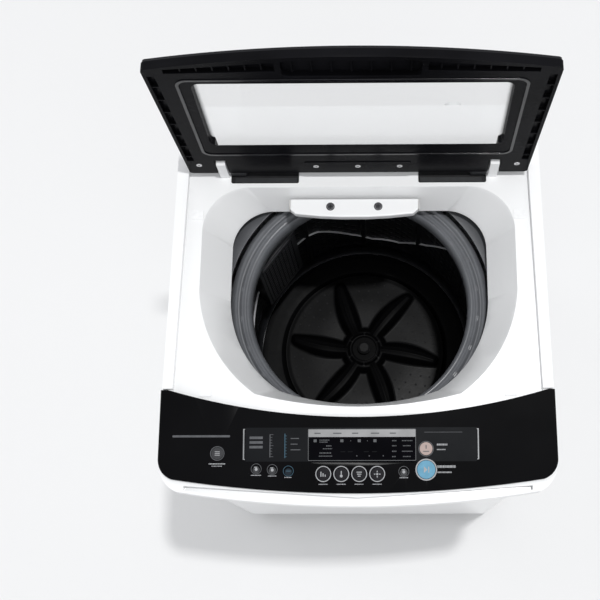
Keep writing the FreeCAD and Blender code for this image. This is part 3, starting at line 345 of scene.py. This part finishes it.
def bars(name, rects, mat, z0=Z0, z1=Z1, r=0.25):
    loops = [mm(rrect(x0, y0, x1, y1, min(r, (x1 - x0) * 0.45, (y1 - y0) * 0.45), 3)) for x0, y0, x1, y1 in rects]
    return prism(name, loops, z0, z1, mat, "cabinet", PANEL)


def caption(x, y, w, seed, h=1.5):
    """A short row of small blocks where a printed caption sits."""
    out, cx, k = [], x - w / 2, seed
    while cx < x + w / 2 - 0.6:
        k = (k * 1103515245 + 12345) % 2147483648
        ww = 0.9 + (k % 100) / 100.0 * 1.0
        out.append((cx, y - h / 2, min(cx + ww, x + w / 2), y + h / 2))
        cx += ww + 0.55
    return out


# softer plate between the brackets
prism("panel_centre_plate", [mm(rrect(-161, -104, 171, -56, 2))], 0.00002, 0.00008, "panel_soft", "cabinet", PANEL)
# ringed keys
for i, x in enumerate((-49, -23.3, 2.3, 28)):
    frame_loop("key_ring_%d" % i, mm(circle(x, -121.5, 11.3)), mm(circle(x, -121.5, 10.0)), Z0, 0.0003, "print_white", "cabinet", PANEL)
frame_loop("start_ring", mm(circle(98, -115.7, 15.4, 56)), mm(circle(98, -115.7, 13.6, 56)), Z0, 0.00045, "print_white", "cabinet", PANEL)
frame_loop("power_ring", mm(circle(98, -86.3, 10.9, 48)), mm(circle(98, -86.3, 9.8, 48)), Z0, 0.0003, "print_grey", "cabinet", PANEL)
frame_loop("menu_ring", mm(circle(-201, -92.3, 10.2, 48)), mm(circle(-201, -92.3, 9.2, 48)), Z0, 0.0003, "print_grey", "cabinet", PANEL)
marks = []
for i, x in enumerate((-49, -23.3, 2.3, 28)):
    marks += caption(x, -136.0, 13, 7 + i, 1.2)
marks += caption(-145, -123.2, 15, 21, 1.3) + caption(-122, -124.2, 12, 22, 1.3) + caption(-99, -126.2, 11, 23, 1.3) + caption(66, -127.0, 12, 24, 1.3)
marks += caption(-201, -107.0, 24, 31, 1.6) + caption(-201, -110.2, 16, 32, 1.2)
marks += caption(121, -80.5, 15, 41, 2.6) + caption(120, -87.5, 13, 42, 1.6)
marks += caption(127, -111.5, 26, 43, 3.4) + caption(124, -119.5, 20, 44, 2.0)
bars("caption_marks", marks, "print_white")
# programme list, tick scale and level scale
three = []
for k in range(3):
    y = -68.5 - 6.6 * k
    three.append((-155, y - 3.6, -136, y))
bars("programme_bars", three, "print_grey")
ticks = [(-126.2, -98, -125.0, -65.5)]
for k in range(9):
    w = 4.2 if k % 4 == 0 else 2.6
    ticks.append((-125.0, -66.2 - 3.9 * k, -125.0 + w, -65.5 - 3.9 * k))
bars("tick_scale", ticks, "print_grey", r=0.1)
bars("level_scale", [(-104.8, -99, -103.6, -64.5)] + [(-103.6, -68.0 - 4.2 * k, -101.4, -67.4 - 4.2 * k) for k in range(8)], "print_blue", r=0.1)
bars("list_lines", [(95.5, -63.2, 150, -62.6), (-96, -72, -84, -70.8), (-96, -80, -86, -78.8), (-96, -88, -82, -86.8)], "print_grey", r=0.1)
bars("panel_lead_bar", [(-266, -69.5, -183, -66.5)], "print_grey", r=1.2)
# display: silver header strip, digits and small icons on the window (its face is 0.3 mm proud)
D0, D1 = 0.00030, 0.00042
bars("display_header", [(-70.4, -69.4, 83.0, -58.8)], "header_silver", D0, D1, 0.8)
dm = []
for k in range(5):
    x = -62 + 27 * k
    dm.append((x, -65.0, x + 9 + 3 * (k % 2), -63.4))
bars("display_header_marks", dm, "print_grey", D1, D1 + 0.00006, 0.3)


ic = []
for x in (-63.0, -24.7, 0.2, 22.7):
    ic.append((x, -76.8, x + 4.4, -72.8))
for x in (-10.4, 13.6):
    ic.append((x, -75.4, x + 1.1, -74.3))
ic += caption(-47.5, -73.8, 14, 61, 1.4) + caption(-48.5, -76.6, 12, 62, 1.4)
ic += caption(-41, -82.0, 8, 63, 1.6) + caption(-43, -86.0, 13, 64, 1.4) + caption(-46, -92.0, 17, 65, 1.6) + caption(-46, -96.4, 19, 66, 1.4)
for k, y in enumerate((-74.8, -82.0, -89.8, -97.2)):
    ic += caption(52.5, y, 6.0, 70 + k, 1.7) + caption(71.0, y, 15 - 3 * (k % 2), 80 + k, 1.4)
for x in (-1.8, 16.0, 36.0):
    ic.append((x, -97.0, x + 1.4, -95.4))
bars("display_icons", ic, "print_grey", D0, D1, 0.3)
bars("display_digit_windows", [(-28.4, -100.0, -3.4, -80.6), (4.4, -100.0, 32.0, -80.6)], "display_glass", D0, D0 + 0.00008, 0.6)
bars("display_digit_segments", [(-24.5, -90.7, -17.5, -89.9), (-14.0, -90.7, -7.0, -89.9), (9.0, -90.7, 16.0, -89.9), (20.5, -90.7, 27.5, -89.9)], "panel_soft", D0 + 0.00008, D1, 0.2)
# bright trim: the two brackets and the thin line round the display
outer = mm(rrect(-71.0, -103.0, 83.6, -58.0, 1.6, 5))
inner = mm(rrect(-70.3, -102.3, 82.9, -58.7, 1.2, 5))
trim = frame_loop("display_line", outer, inner, 0.0, 0.0005, "trim_line", "cabinet", PANEL)
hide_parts("panel_trim")
BR = []
for sgn, x in ((1, -164.3), (-1, 173.7)):
    pts = [(x, -57.6), (x, -101.4), (x + sgn * 3.4, -101.4), (x + sgn * 1.9, -99.6), (x + sgn * 1.9, -59.4), (x + sgn * 3.4, -57.6)]
    BR.append(mm(pts if sgn > 0 else pts[::-1]))
prism("panel_brackets", BR, 0.0, 0.0007, "bracket_silver", "cabinet", PANEL, bevel=0.0002)
# marks on the four ringed keys and on the other keys (they travel with the key)
KZ0, KZ1 = 0.0007, 0.00082


def key_mark(body, loops, mat="print_white"):
    return prism(body + "_mark", [mm(l) for l in loops], KZ0, KZ1, mat, body + "_cap", PANEL)


ky = -121.8
key_mark("key_level", [rrect(-53, ky - 3.5, -51.6, ky + 3.5, .3), rrect(-50, ky - 3.5, -48.6, ky + 1.5, .3), rrect(-47, ky - 3.5, -45.6, ky - 0.5, .3)])
key_mark("key_temp", [rrect(-24, ky - 1, -22.6, ky + 4.5, .4), circle(-23.3, ky - 2.6, 2.0, 20)])
key_mark("key_rinse", [rrect(-1.6, ky + 2.2, 6.2, ky + 3.4, .3), rrect(-0.8, ky - 0.6, 5.4, ky + 0.6, .3), rrect(0.2, ky - 3.4, 4.4, ky - 2.2, .3)])
key_mark("key_spin", [circle(28, ky, 1.5, 20), rrect(27.4, ky + 2.4, 28.6, ky + 4.8, .3), rrect(27.4, ky - 4.8, 28.6, ky - 2.4, .3), rrect(23.2, ky - .6, 25.6, ky + .6, .3), rrect(30.4, ky - .6, 32.8, ky + .6, .3)])
key_mark("key_start", [[(94.6, -120.4), (94.6, -111.0), (99.6, -115.7)], rrect(100.8, -120.0, 102.2, -111.4, .3)], "print_white")
key_mark("key_power", [rrect(97.3, -86.3, 98.7, -81.0, .3), rrect(93.6, -90.6, 102.4, -89.4, .3)], "print_grey")
key_mark("key_menu", [rrect(-204.6, -90.4, -197.4, -89.4, .3), rrect(-204.6, -92.8, -197.4, -91.8, .3), rrect(-204.6, -95.2, -197.4, -94.2, .3)], "print_white")

for nm, x, y, mat in (("key_soak", -145, -114, "print_white"), ("key_delay", -122, -115, "print_white"), ("key_wash", -99, -117, "print_blue"), ("key_lock", 66, -118, "print_white")):
    yy = {"key_soak": -114.2, "key_delay": -115.2, "key_wash": -117.3, "key_lock": -118.3}[nm]
    frame_loop(nm + "_ring", mm(circle(x, yy, 7.6, 40)), mm(circle(x, yy, 6.9, 40)), Z0, 0.0003, "print_grey" if mat == "print_white" else "print_blue", "cabinet", PANEL)
    key_mark(nm, [circle(x, yy - 0.6, 2.1, 20), rrect(x - 2.8, yy + 1.9, x + 1.4, yy + 3.0, .3)] if nm != "key_wash" else [rrect(x - 3.4, yy - 0.5, x + 3.4, yy + 0.5, .3)], mat)
NODES["lid_ridge"].data.materials.clear()
NODES["lid_ridge"].data.materials.append(M["lid_gloss"])
NODES["key_wash"].data.materials.clear()
NODES["key_wash"].data.materials.append(M["wash_dim"])
# ------------------------------------------------------------------ tub interior
def perforated_wall():
    """Basket wall: a steel sheet with rows of real holes."""
    R, z0, z1 = 0.2013, 0.4825, 0.7765
    nc, nr = 108, 25
    dz = (z1 - z0) / nr
    verts, faces = [], []

    def p(a, z, r=R):
        return (r * math.cos(a), r * math.sin(a), z)

    grid = {}
    for i in range(nc):
        for j in range(nr + 1):
            grid[i, j] = len(verts)
            verts.append(p(2 * math.pi * i / nc, z0 + dz * j))
    rad = 0.0018
    for i in range(nc):
        for j in range(nr):
            A_, B_ = grid[i, j], grid[(i + 1) % nc, j]
            C_, D_ = grid[(i + 1) % nc, j + 1], grid[i, j + 1]
            band = i % 9
            hole = band not in (0, 8) and 0 < j < nr - 1 and (i + j) % 2 == 0 and (j % 8 != 4)
            if not hole:
                faces.append([A_, B_, C_, D_])
                continue
            a0, zc = 2 * math.pi * (i + 0.5) / nc, z0 + dz * (j + 0.5)
            ring = []
            for k in range(8):
                t = math.radians(-135 + 45 * k)
                ring.append(len(verts))
                verts.append(p(a0 + rad * math.cos(t) / R, zc + rad * math.sin(t)))
            faces += [[A_, B_, ring[2], ring[1], ring[0]], [B_, C_, ring[4], ring[3], ring[2]], [C_, D_, ring[6], ring[5], ring[4]], [D_, A_, ring[0], ring[7], ring[6]]]
    o = finish_mesh("basket_wall", verts, faces, "basket_steel", "basket", smooth=True)
    so = o.modifiers.new("thick", "SOLIDIFY")
    so.thickness = 0.0009
    so.offset = 0
    return o


wall = perforated_wall()
low = lathe("basket_wall_foot", [(0.1925, 0.4612), (0.1975, 0.4640), (0.2010, 0.4720), (0.2014, 0.4830), (0.2024, 0.4830), (0.2021, 0.4712), (0.1981, 0.4630), (0.1928, 0.4604)], "basket_steel", "basket")
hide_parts("basket_shell")
# rolled beads round the wall; the upper one is coloured pale, a painted highlight on the steel
for n_, zz in (("upper", 0.742), ("lower", 0.505)):
    lathe("basket_bead_" + n_, [(0.2011, zz - 0.0030), (0.1998, zz - 0.0012), (0.1996, zz), (0.1998, zz + 0.0012), (0.2011, zz + 0.0030)], "pale_painted_highlight" if n_ == "upper" else "basket_steel", "basket")
# vertical ribs pressed into the wall
rib_v, rib_f = [], []
for k in range(12):
    a = 2 * math.pi * (k * 9 + 0.0) / 108
    base = len(rib_v)
    for zz in (0.490, 0.500, 0.728, 0.738):
        h = 0.0026 if zz in (0.500, 0.728) else 0.0002
        for da, hh in ((-0.030, 0.0), (-0.012, h), (0.012, h), (0.030, 0.0)):
            r_ = 0.2009 - hh
            rib_v.append((r_ * math.cos(a + da), r_ * math.sin(a + da), zz))
    for u in range(3):
        for v in range(3):
            q = base + u * 4 + v
            rib_f.append([q, q + 1, q + 5, q + 4])
ribs = finish_mesh("basket_ribs", rib_v, rib_f, "basket_steel", "basket", smooth=True)
ribs.modifiers.new("thick", "SOLIDIFY").thickness = 0.0006

def wall_line(name, path, half=0.0010, r=0.1979):
    """A thin raised line on the wall through (angle in degrees, height) points, coloured pale as a painted highlight on
    the steel.
    """
    v, f = [], []
    pts = []
    for a, b in zip(path, path[1:]):
        for q in range(8):
            pts.append((a[0] + (b[0] - a[0]) * q / 8, a[1] + (b[1] - a[1]) * q / 8))
    pts.append(path[-1])
    for a, z in pts:
        c, s2 = math.cos(math.radians(a)), math.sin(math.radians(a))
        v += [((r + 0.0032) * c, (r + 0.0032) * s2, z - half * 1.6), (r * c, r * s2, z - half), (r * c, r * s2, z + half), ((r + 0.0032) * c, (r + 0.0032) * s2, z + half * 1.6)]
    for i in range(len(pts) - 1):
        for k in range(4):
            l = (k + 1) % 4
            f.append([4 * i + k, 4 * i + l, 4 * i + 4 + l, 4 * i + 4 + k])
    f += [[0, 1, 2, 3], [4 * len(pts) - 4 + k for k in (3, 2, 1, 0)]]
    return finish_mesh(name, v, f, "pale_painted_highlight", "basket", smooth=True)


WALL_PATHS = [[(126.24, 0.6183), (119.4, 0.629), (113.69, 0.6252), (106.64, 0.5997), (96.18, 0.5622), (85.41, 0.5359), (70.44, 0.5438), (54.87, 0.6037), (40.19, 0.6831), (35.61, 0.7076)], [(152.84000000000003, 0.6266), (161.22000000000003, 0.5993), (170.09000000000003, 0.5694), (178.85000000000002, 0.5372)]]
for i_, path_ in enumerate(WALL_PATHS):
    wall_line("basket_wall_line_%d" % i_, path_)

# balance ring with three ridges
prof = [(0.1700, 0.7870), (0.1735, 0.7805), (0.2010, 0.7785), (0.2031, 0.7805), (0.2033, 0.8070), (0.2022, 0.8098), (0.1996, 0.8118), (0.1968, 0.8148), (0.1945, 0.8151),
        (0.1925, 0.8138), (0.1908, 0.8112), (0.1888, 0.8110), (0.1868, 0.8132), (0.1846, 0.8143), (0.1826, 0.8134), (0.1808, 0.8104), (0.1788, 0.8098), (0.1770, 0.8112), (0.1750, 0.8113), (0.1728, 0.8092), (0.1708, 0.8054), (0.1700, 0.8000)]
ring = lathe("balance_ring_moulding", prof, "ring_grey", "basket", seg=256)
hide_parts("balance_ring")
tabs = []
rv, rf = [], []
for k in range(24):
    a = 2 * math.pi * (k + 0.5) / 24
    for s_ in (0,):
        base = len(rv)
        for r_, zz in ((0.1872, 0.8130), (0.1826, 0.8132)):
            for da in (-0.022, 0.022):
                rv.append((r_ * math.cos(a + da), r_ * math.sin(a + da), zz + 0.0008))
                rv.append((r_ * math.cos(a + da), r_ * math.sin(a + da), zz - 0.0030))
        b = base
        rf += [[b, b + 2, b + 6, b + 4], [b + 1, b + 5, b + 7, b + 3], [b, b + 1, b + 3, b + 2], [b + 4, b + 6, b + 7, b + 5], [b, b + 4, b + 5, b + 1], [b + 2, b + 3, b + 7, b + 6]]
finish_mesh("balance_ring_welds", rv, rf, "ring_grey", "basket", bevel=0.0005)


def pulsator():
    """Pulsator: a shallow dish with six broad vanes and a raised hub, as one height field."""
    nr, na = 92, 720
    R = 0.1478
    spokes = [math.radians(60 * k) for k in range(6)]
    verts, faces, lift = [], [], []

    def step(x):
        x = min(1.0, max(0.0, x))
        return x * x * (3 - 2 * x)

    for i in range(nr + 1):
        r = R * i / nr
        t = r / R
        for j in range(na):
            a = 2 * math.pi * j / na
            z = 0.4650 + 0.0016 * math.sin(math.pi * step((t - 0.2) / 0.8)) - 0.0026 * step((t - 0.95) / 0.05)
            best = 0.0
            for s_ in spokes:
                sa = s_ + 0.02 - 0.20 * t
                da = (a - sa + math.pi) % (2 * math.pi) - math.pi
                d_ = abs(da) * r
                w = 0.0066 + 0.0085 * math.sin(math.pi * min(1.0, t / 0.97) ** 1.15)
                end = step((0.1430 - r) / 0.012)
                if d_ < w * 1.5 and end > 0:
                    flank = step(1.5 - d_ / w)
                    best = max(best, flank * end * 0.0160 * (1 - 0.25 * t) * (0.86 + 0.14 * (1 - min(1.0, d_ / w)) ** 2))
            z += best
            hub = 0.4650 + 0.0135 * step((0.046 - r) / 0.012)
            if r < 0.0300:
                hub = max(hub, 0.4650 + 0.0135 + 0.0052 * step((0.0300 - r) / 0.0035))
            if 0.0225 < r < 0.0262:
                hub -= 0.0016 * math.sin(math.pi * (r - 0.0225) / 0.0037)
            z = max(z, hub) if r < 0.046 else z
            verts.append((r * math.cos(a), r * math.sin(a), min(z, 0.4895)))
            lift.append(max(best, 0.009 if 0.031 < r < 0.044 else 0.0))
    for i in range(nr):
        for j in range(na):
            k = (j + 1) % na
            faces.append([i * na + j, (i + 1) * na + j, (i + 1) * na + k, i * na + k])
    base = len(verts)
    for r, z in ((R, 0.4632), (R - 0.004, 0.4600), (0.040, 0.4545), (0.010, 0.4535)):
        for j in range(na):
            a = 2 * math.pi * j / na
            verts.append((r * math.cos(a), r * math.sin(a), z))
            lift.append(0)
    prev = nr * na
    for ring_ in range(4):
        cur = base + ring_ * na
        for j in range(na):
            k = (j + 1) % na
            faces.append([prev + j, cur + j, cur + k, prev + k])
        prev = cur
    me = bpy.data.meshes.new("pulsator_moulding")
    me.from_pydata(verts, [], faces)
    me.materials.append(M["pulsator_grey"])
    me.materials.append(M["vane_dark"])
    for p_ in me.polygons:
        p_.use_smooth = True
        if min(lift[v] for v in p_.vertices) > 0.0012:
            p_.material_index = 1
    o = bpy.data.objects.new("pulsator_moulding", me)
    bpy.context.collection.objects.link(o)
    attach(o, "pulsator_unit")
    return o, spokes


pul, spokes = pulsator()
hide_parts("pulsator")
# drain holes between the vanes, drawn as flat near-black discs on the dish: painted shade of the open holes
hl = []
for s_ in spokes:
    for rr, offs in ((0.132, (0.20, 0.34, 0.48, 0.62, 0.76)), (0.116, (0.22, 0.38, 0.54, 0.70)), (0.098, (0.26, 0.44, 0.62)), (0.080, (0.32, 0.52))):
        for o_ in offs:
            a = s_ + 0.07 - 0.20 * rr / 0.148 + o_
            hl.append(circle(rr * math.cos(a), rr * math.sin(a), 0.0019, 12))
prism("pulsator_holes", hl, 0.4655, 0.46700, "hole_shade_black", "pulsator_unit")
# ------------------------------------------------------------------ lint filter face
ang = math.atan2(96, -131)
fx, fy = math.cos(ang), math.sin(ang)
FR = 0.2009
h_ = 0.235
mid = (FR * math.cos(h_) * fx, FR * math.cos(h_) * fy)
hw_ = FR * math.sin(h_)


def filt(u, w, z):
    return (mid[0] - fx * w - fy * u, mid[1] - fy * w + fx * u, z)


fv, ff_ = [], []


def fbox(u0, u1, w0, w1, z0, z1):
    b = len(fv)
    for u in (u0, u1):
        for w in (w0, w1):
            for z in (z0, z1):
                fv.append(filt(u, w, z))
    for q in ((0, 1, 3, 2), (4, 6, 7, 5), (0, 4, 5, 1), (2, 3, 7, 6), (0, 2, 6, 4), (1, 5, 7, 3)):
        ff_.append([b + i for i in q])


for k in range(9):
    u = -hw_ + 0.0125 + (2 * hw_ - 0.025) * k / 8
    fbox(u - 0.0006, u + 0.0006, 0.0250, 0.0256, 0.580, 0.742)
for k in range(15):
    z = 0.580 + 0.162 * k / 14
    fbox(-hw_ + 0.012, hw_ - 0.012, 0.0250, 0.0254, z - 0.0005, z + 0.0005)
finish_mesh("lint_filter_grid", fv, ff_, "base_grey", "filter")

# ------------------------------------------------------------------ deck details
box_pts = [(-101, 130), (-99, 127.5), (-60, 123.6), (-27, 122), (13, 122), (46, 123.6), (85, 127.5), (87, 130), (93, 135), (93, 152), (-107, 152), (-107, 135)]
inlet_top = prism("inlet_cover", [mm(box_pts)], 0.862, 0.876, "white_plastic", "cabinet", bevel=0.0024)
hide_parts("inlet_box")
prism("inlet_joint", [mm([(-107.6, 134), (-107.0, 134), (-107.0, 152), (-107.6, 152)]), mm([(93.0, 134), (93.6, 134), (93.6, 152), (93.0, 152)])], 0.864, 0.8764, "seam_shadow", "cabinet")
prism("hinge_recess_left", [mm(rrect(-196.6, 172, -92.4, 201.6, 3))], 0.8911, 0.8930, "recess_black", "cabinet")
prism("hinge_recess_right", [mm(rrect(92.4, 172, 196.6, 201.6, 3))], 0.8911, 0.8930, "recess_black", "cabinet")
prism("hinge_step", [mm(rrect(-190, 172.6, -95, 180, 1)), mm(rrect(95, 172.6, 190, 180, 1))], 0.8930, 0.8938, "hinge_grey", "cabinet", bevel=0.0003)
# screw recesses and cross heads; the cross slots are flat near-black marks, painted shade of the recesses
def cross(name, spots, z, body, matrix=ONE, r=0.0022):
    lo = []
    for x, y in spots:
        lo.append([(x - r, y - r * .22), (x + r, y - r * .22), (x + r, y + r * .22), (x - r, y + r * .22)])
        lo.append([(x - r * .22, y - r), (x + r * .22, y - r), (x + r * .22, y + r), (x - r * .22, y + r)])
    return prism(name, lo, z, z + 0.00005, "hole_shade_black", body, matrix)


cross("inlet_screw_slots", [(-0.044, 0.139), (0.030, 0.139)], 0.8778, "cabinet", r=0.0032)
for i_, x_ in enumerate((-44, 30)):
    frame_loop("inlet_screw_ring_%d" % i_, mm(circle(x_, 139, 6.6, 40)), mm(circle(x_, 139, 4.9, 40)), 0.8760, 0.8763, "screw_dark", "cabinet")
cross("lid_screw_slots", [(-0.063, 0.026), (0, 0.026), (0.063, 0.026)], 0.0017, "lid", LID)
cross("lid_corner_slots", [(-0.239, 0.031), (0.239, 0.031)], 0.0012, "lid", LID)

# ------------------------------------------------------------------ lid ribs
lr = []
for sgn in (-1, 1):
    for k in range(7):
        s0 = 0.058 + 0.036 * k
        sh = (s0 - 0.045) / 0.26 * 0.005
        x0, x1 = sorted((sgn * (0.2442 + sh), sgn * (0.2540 + sh)))
        lr.append([(x0, s0), (x1, s0), (x1, s0 + 0.0020), (x0, s0 + 0.0020)])
prism("lid_side_ribs", lr, -0.0065, -0.0010, "lid_black", "lid", LID, bevel=0.0003)
fr_ = []
for k in range(6):
    for sgn in (-1, 1):
        x = sgn * (0.112 + 0.0205 * k)
        s0 = 0.3185 - 0.0040 * (abs(x) - 0.096) / 0.14 + 0.0005
        s1 = 0.336 - 0.016 * (abs(x) - 0.096) / 0.14
        fr_.append([(x - 0.0011, s0), (x + 0.0011, s0), (x + 0.0011, s1), (x - 0.0011, s1)])
prism("lid_front_ribs", fr_, -0.0065, -0.0012, "lid_black", "lid", LID, bevel=0.0003)
hr = [[(-0.075 + 0.025 * k - 0.001, 0.306), (-0.075 + 0.025 * k + 0.001, 0.306), (-0.075 + 0.025 * k + 0.001, 0.338), (-0.075 + 0.025 * k - 0.001, 0.338)] for k in range(7)]
prism("lid_hand_ribs", hr, -0.0092, -0.0050, "lid_black", "lid", LID, bevel=0.0003)

# ------------------------------------------------------------------ cabinet details
# suspension springs: the same coils, stretching between the corner rods and the tub carrier
coil_me = NODES["suspension_springs"].data.copy()
coil_me.name = "suspension_coils"
coils = bpy.data.objects.new("suspension_coils", coil_me)
bpy.context.collection.objects.link(coils)
for p_ in coil_me.polygons:
    p_.use_smooth = True
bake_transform(coils)
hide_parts("suspension_springs")

# ------------------------------------------------------------------ floor, light and camera
def floor_material():
    m = bpy.data.materials.new("floor_pale")
    m.use_nodes = True
    nt = m.node_tree
    b = nt.nodes["Principled BSDF"]
    n = nt.nodes.new("ShaderNodeTexNoise")
    n.inputs["Scale"].default_value = 1.5
    r = nt.nodes.new("ShaderNodeValToRGB")
    r.color_ramp.elements[0].color = (0.80, 0.80, 0.80, 1)
    r.color_ramp.elements[1].color = (0.83, 0.83, 0.828, 1)
    nt.links.new(n.outputs["Fac"], r.inputs["Fac"])
    nt.links.new(r.outputs["Color"], b.inputs["Base Color"])
    b.inputs["Roughness"].default_value = 0.9
    b.inputs["Specular IOR Level"].default_value = 0.1
    return m


fme = bpy.data.meshes.new("floor")
fme.from_pydata([(-14, -14, -0.0005), (14, -14, -0.0005), (14, 14, -0.0005), (-14, 14, -0.0005)], [], [[0, 1, 2, 3]])
floor = bpy.data.objects.new("floor", fme)
bpy.context.collection.objects.link(floor)
fme.materials.append(floor_material())

world = bpy.data.worlds.new("studio")
bpy.context.scene.world = world
world.use_nodes = True
bg = world.node_tree.nodes["Background"]
bg.inputs[0].default_value = (0.97, 0.98, 1.0, 1)
bg.inputs[1].default_value = 0.72


def area(name, loc, target, size, power, col=(1, 1, 1)):
    l = bpy.data.lights.new(name, "AREA")
    l.energy = power
    l.size = size
    l.color = col
    o = bpy.data.objects.new(name, l)
    o.location = loc
    d = (Vector(target) - Vector(loc)).normalized()
    o.rotation_euler = d.to_track_quat("-Z", "Y").to_euler()
    bpy.context.collection.objects.link(o)


area("key", (0.86, 0.12, 7.0), (0, 0, 0.0), 0.22, 192)
area("fill", (-3.4, 0.8, 3.4), (0, 0, 0.7), 3.0, 16, (0.96, 0.98, 1))
area("front", (0.6, -4.2, 2.6), (0, 0, 0.5), 3.0, 8)

fwd = Vector((-0.01080776, 0.29402495, -0.95573664))
rt = Vector((0.99993182, -0.00104885, -0.0116302))
up = Vector((0.00442199, 0.95579717, 0.29399356))
cam_d = bpy.data.cameras.new("camera")
cam_d.sensor_width = 36
cam_d.lens = 0.06 * 1047.38
cam_d.shift_x = (300 - 375.4) / 600.0
cam_d.shift_y = (260.57 - 300) / 600.0
cam_d.clip_end = 60
cam_d.dof.use_dof = False
cam = bpy.data.objects.new("camera", cam_d)
cam.matrix_world = Matrix(((rt.x, up.x, -fwd.x, 0.0428998), (rt.y, up.y, -fwd.y, -0.4182551), (rt.z, up.z, -fwd.z, 0.905 + 1.4969718), (0, 0, 0, 1)))
bpy.context.collection.objects.link(cam)
bpy.context.scene.camera = cam
bpy.context.scene.view_settings.view_transform = "Standard"
bpy.context.view_layer.update()
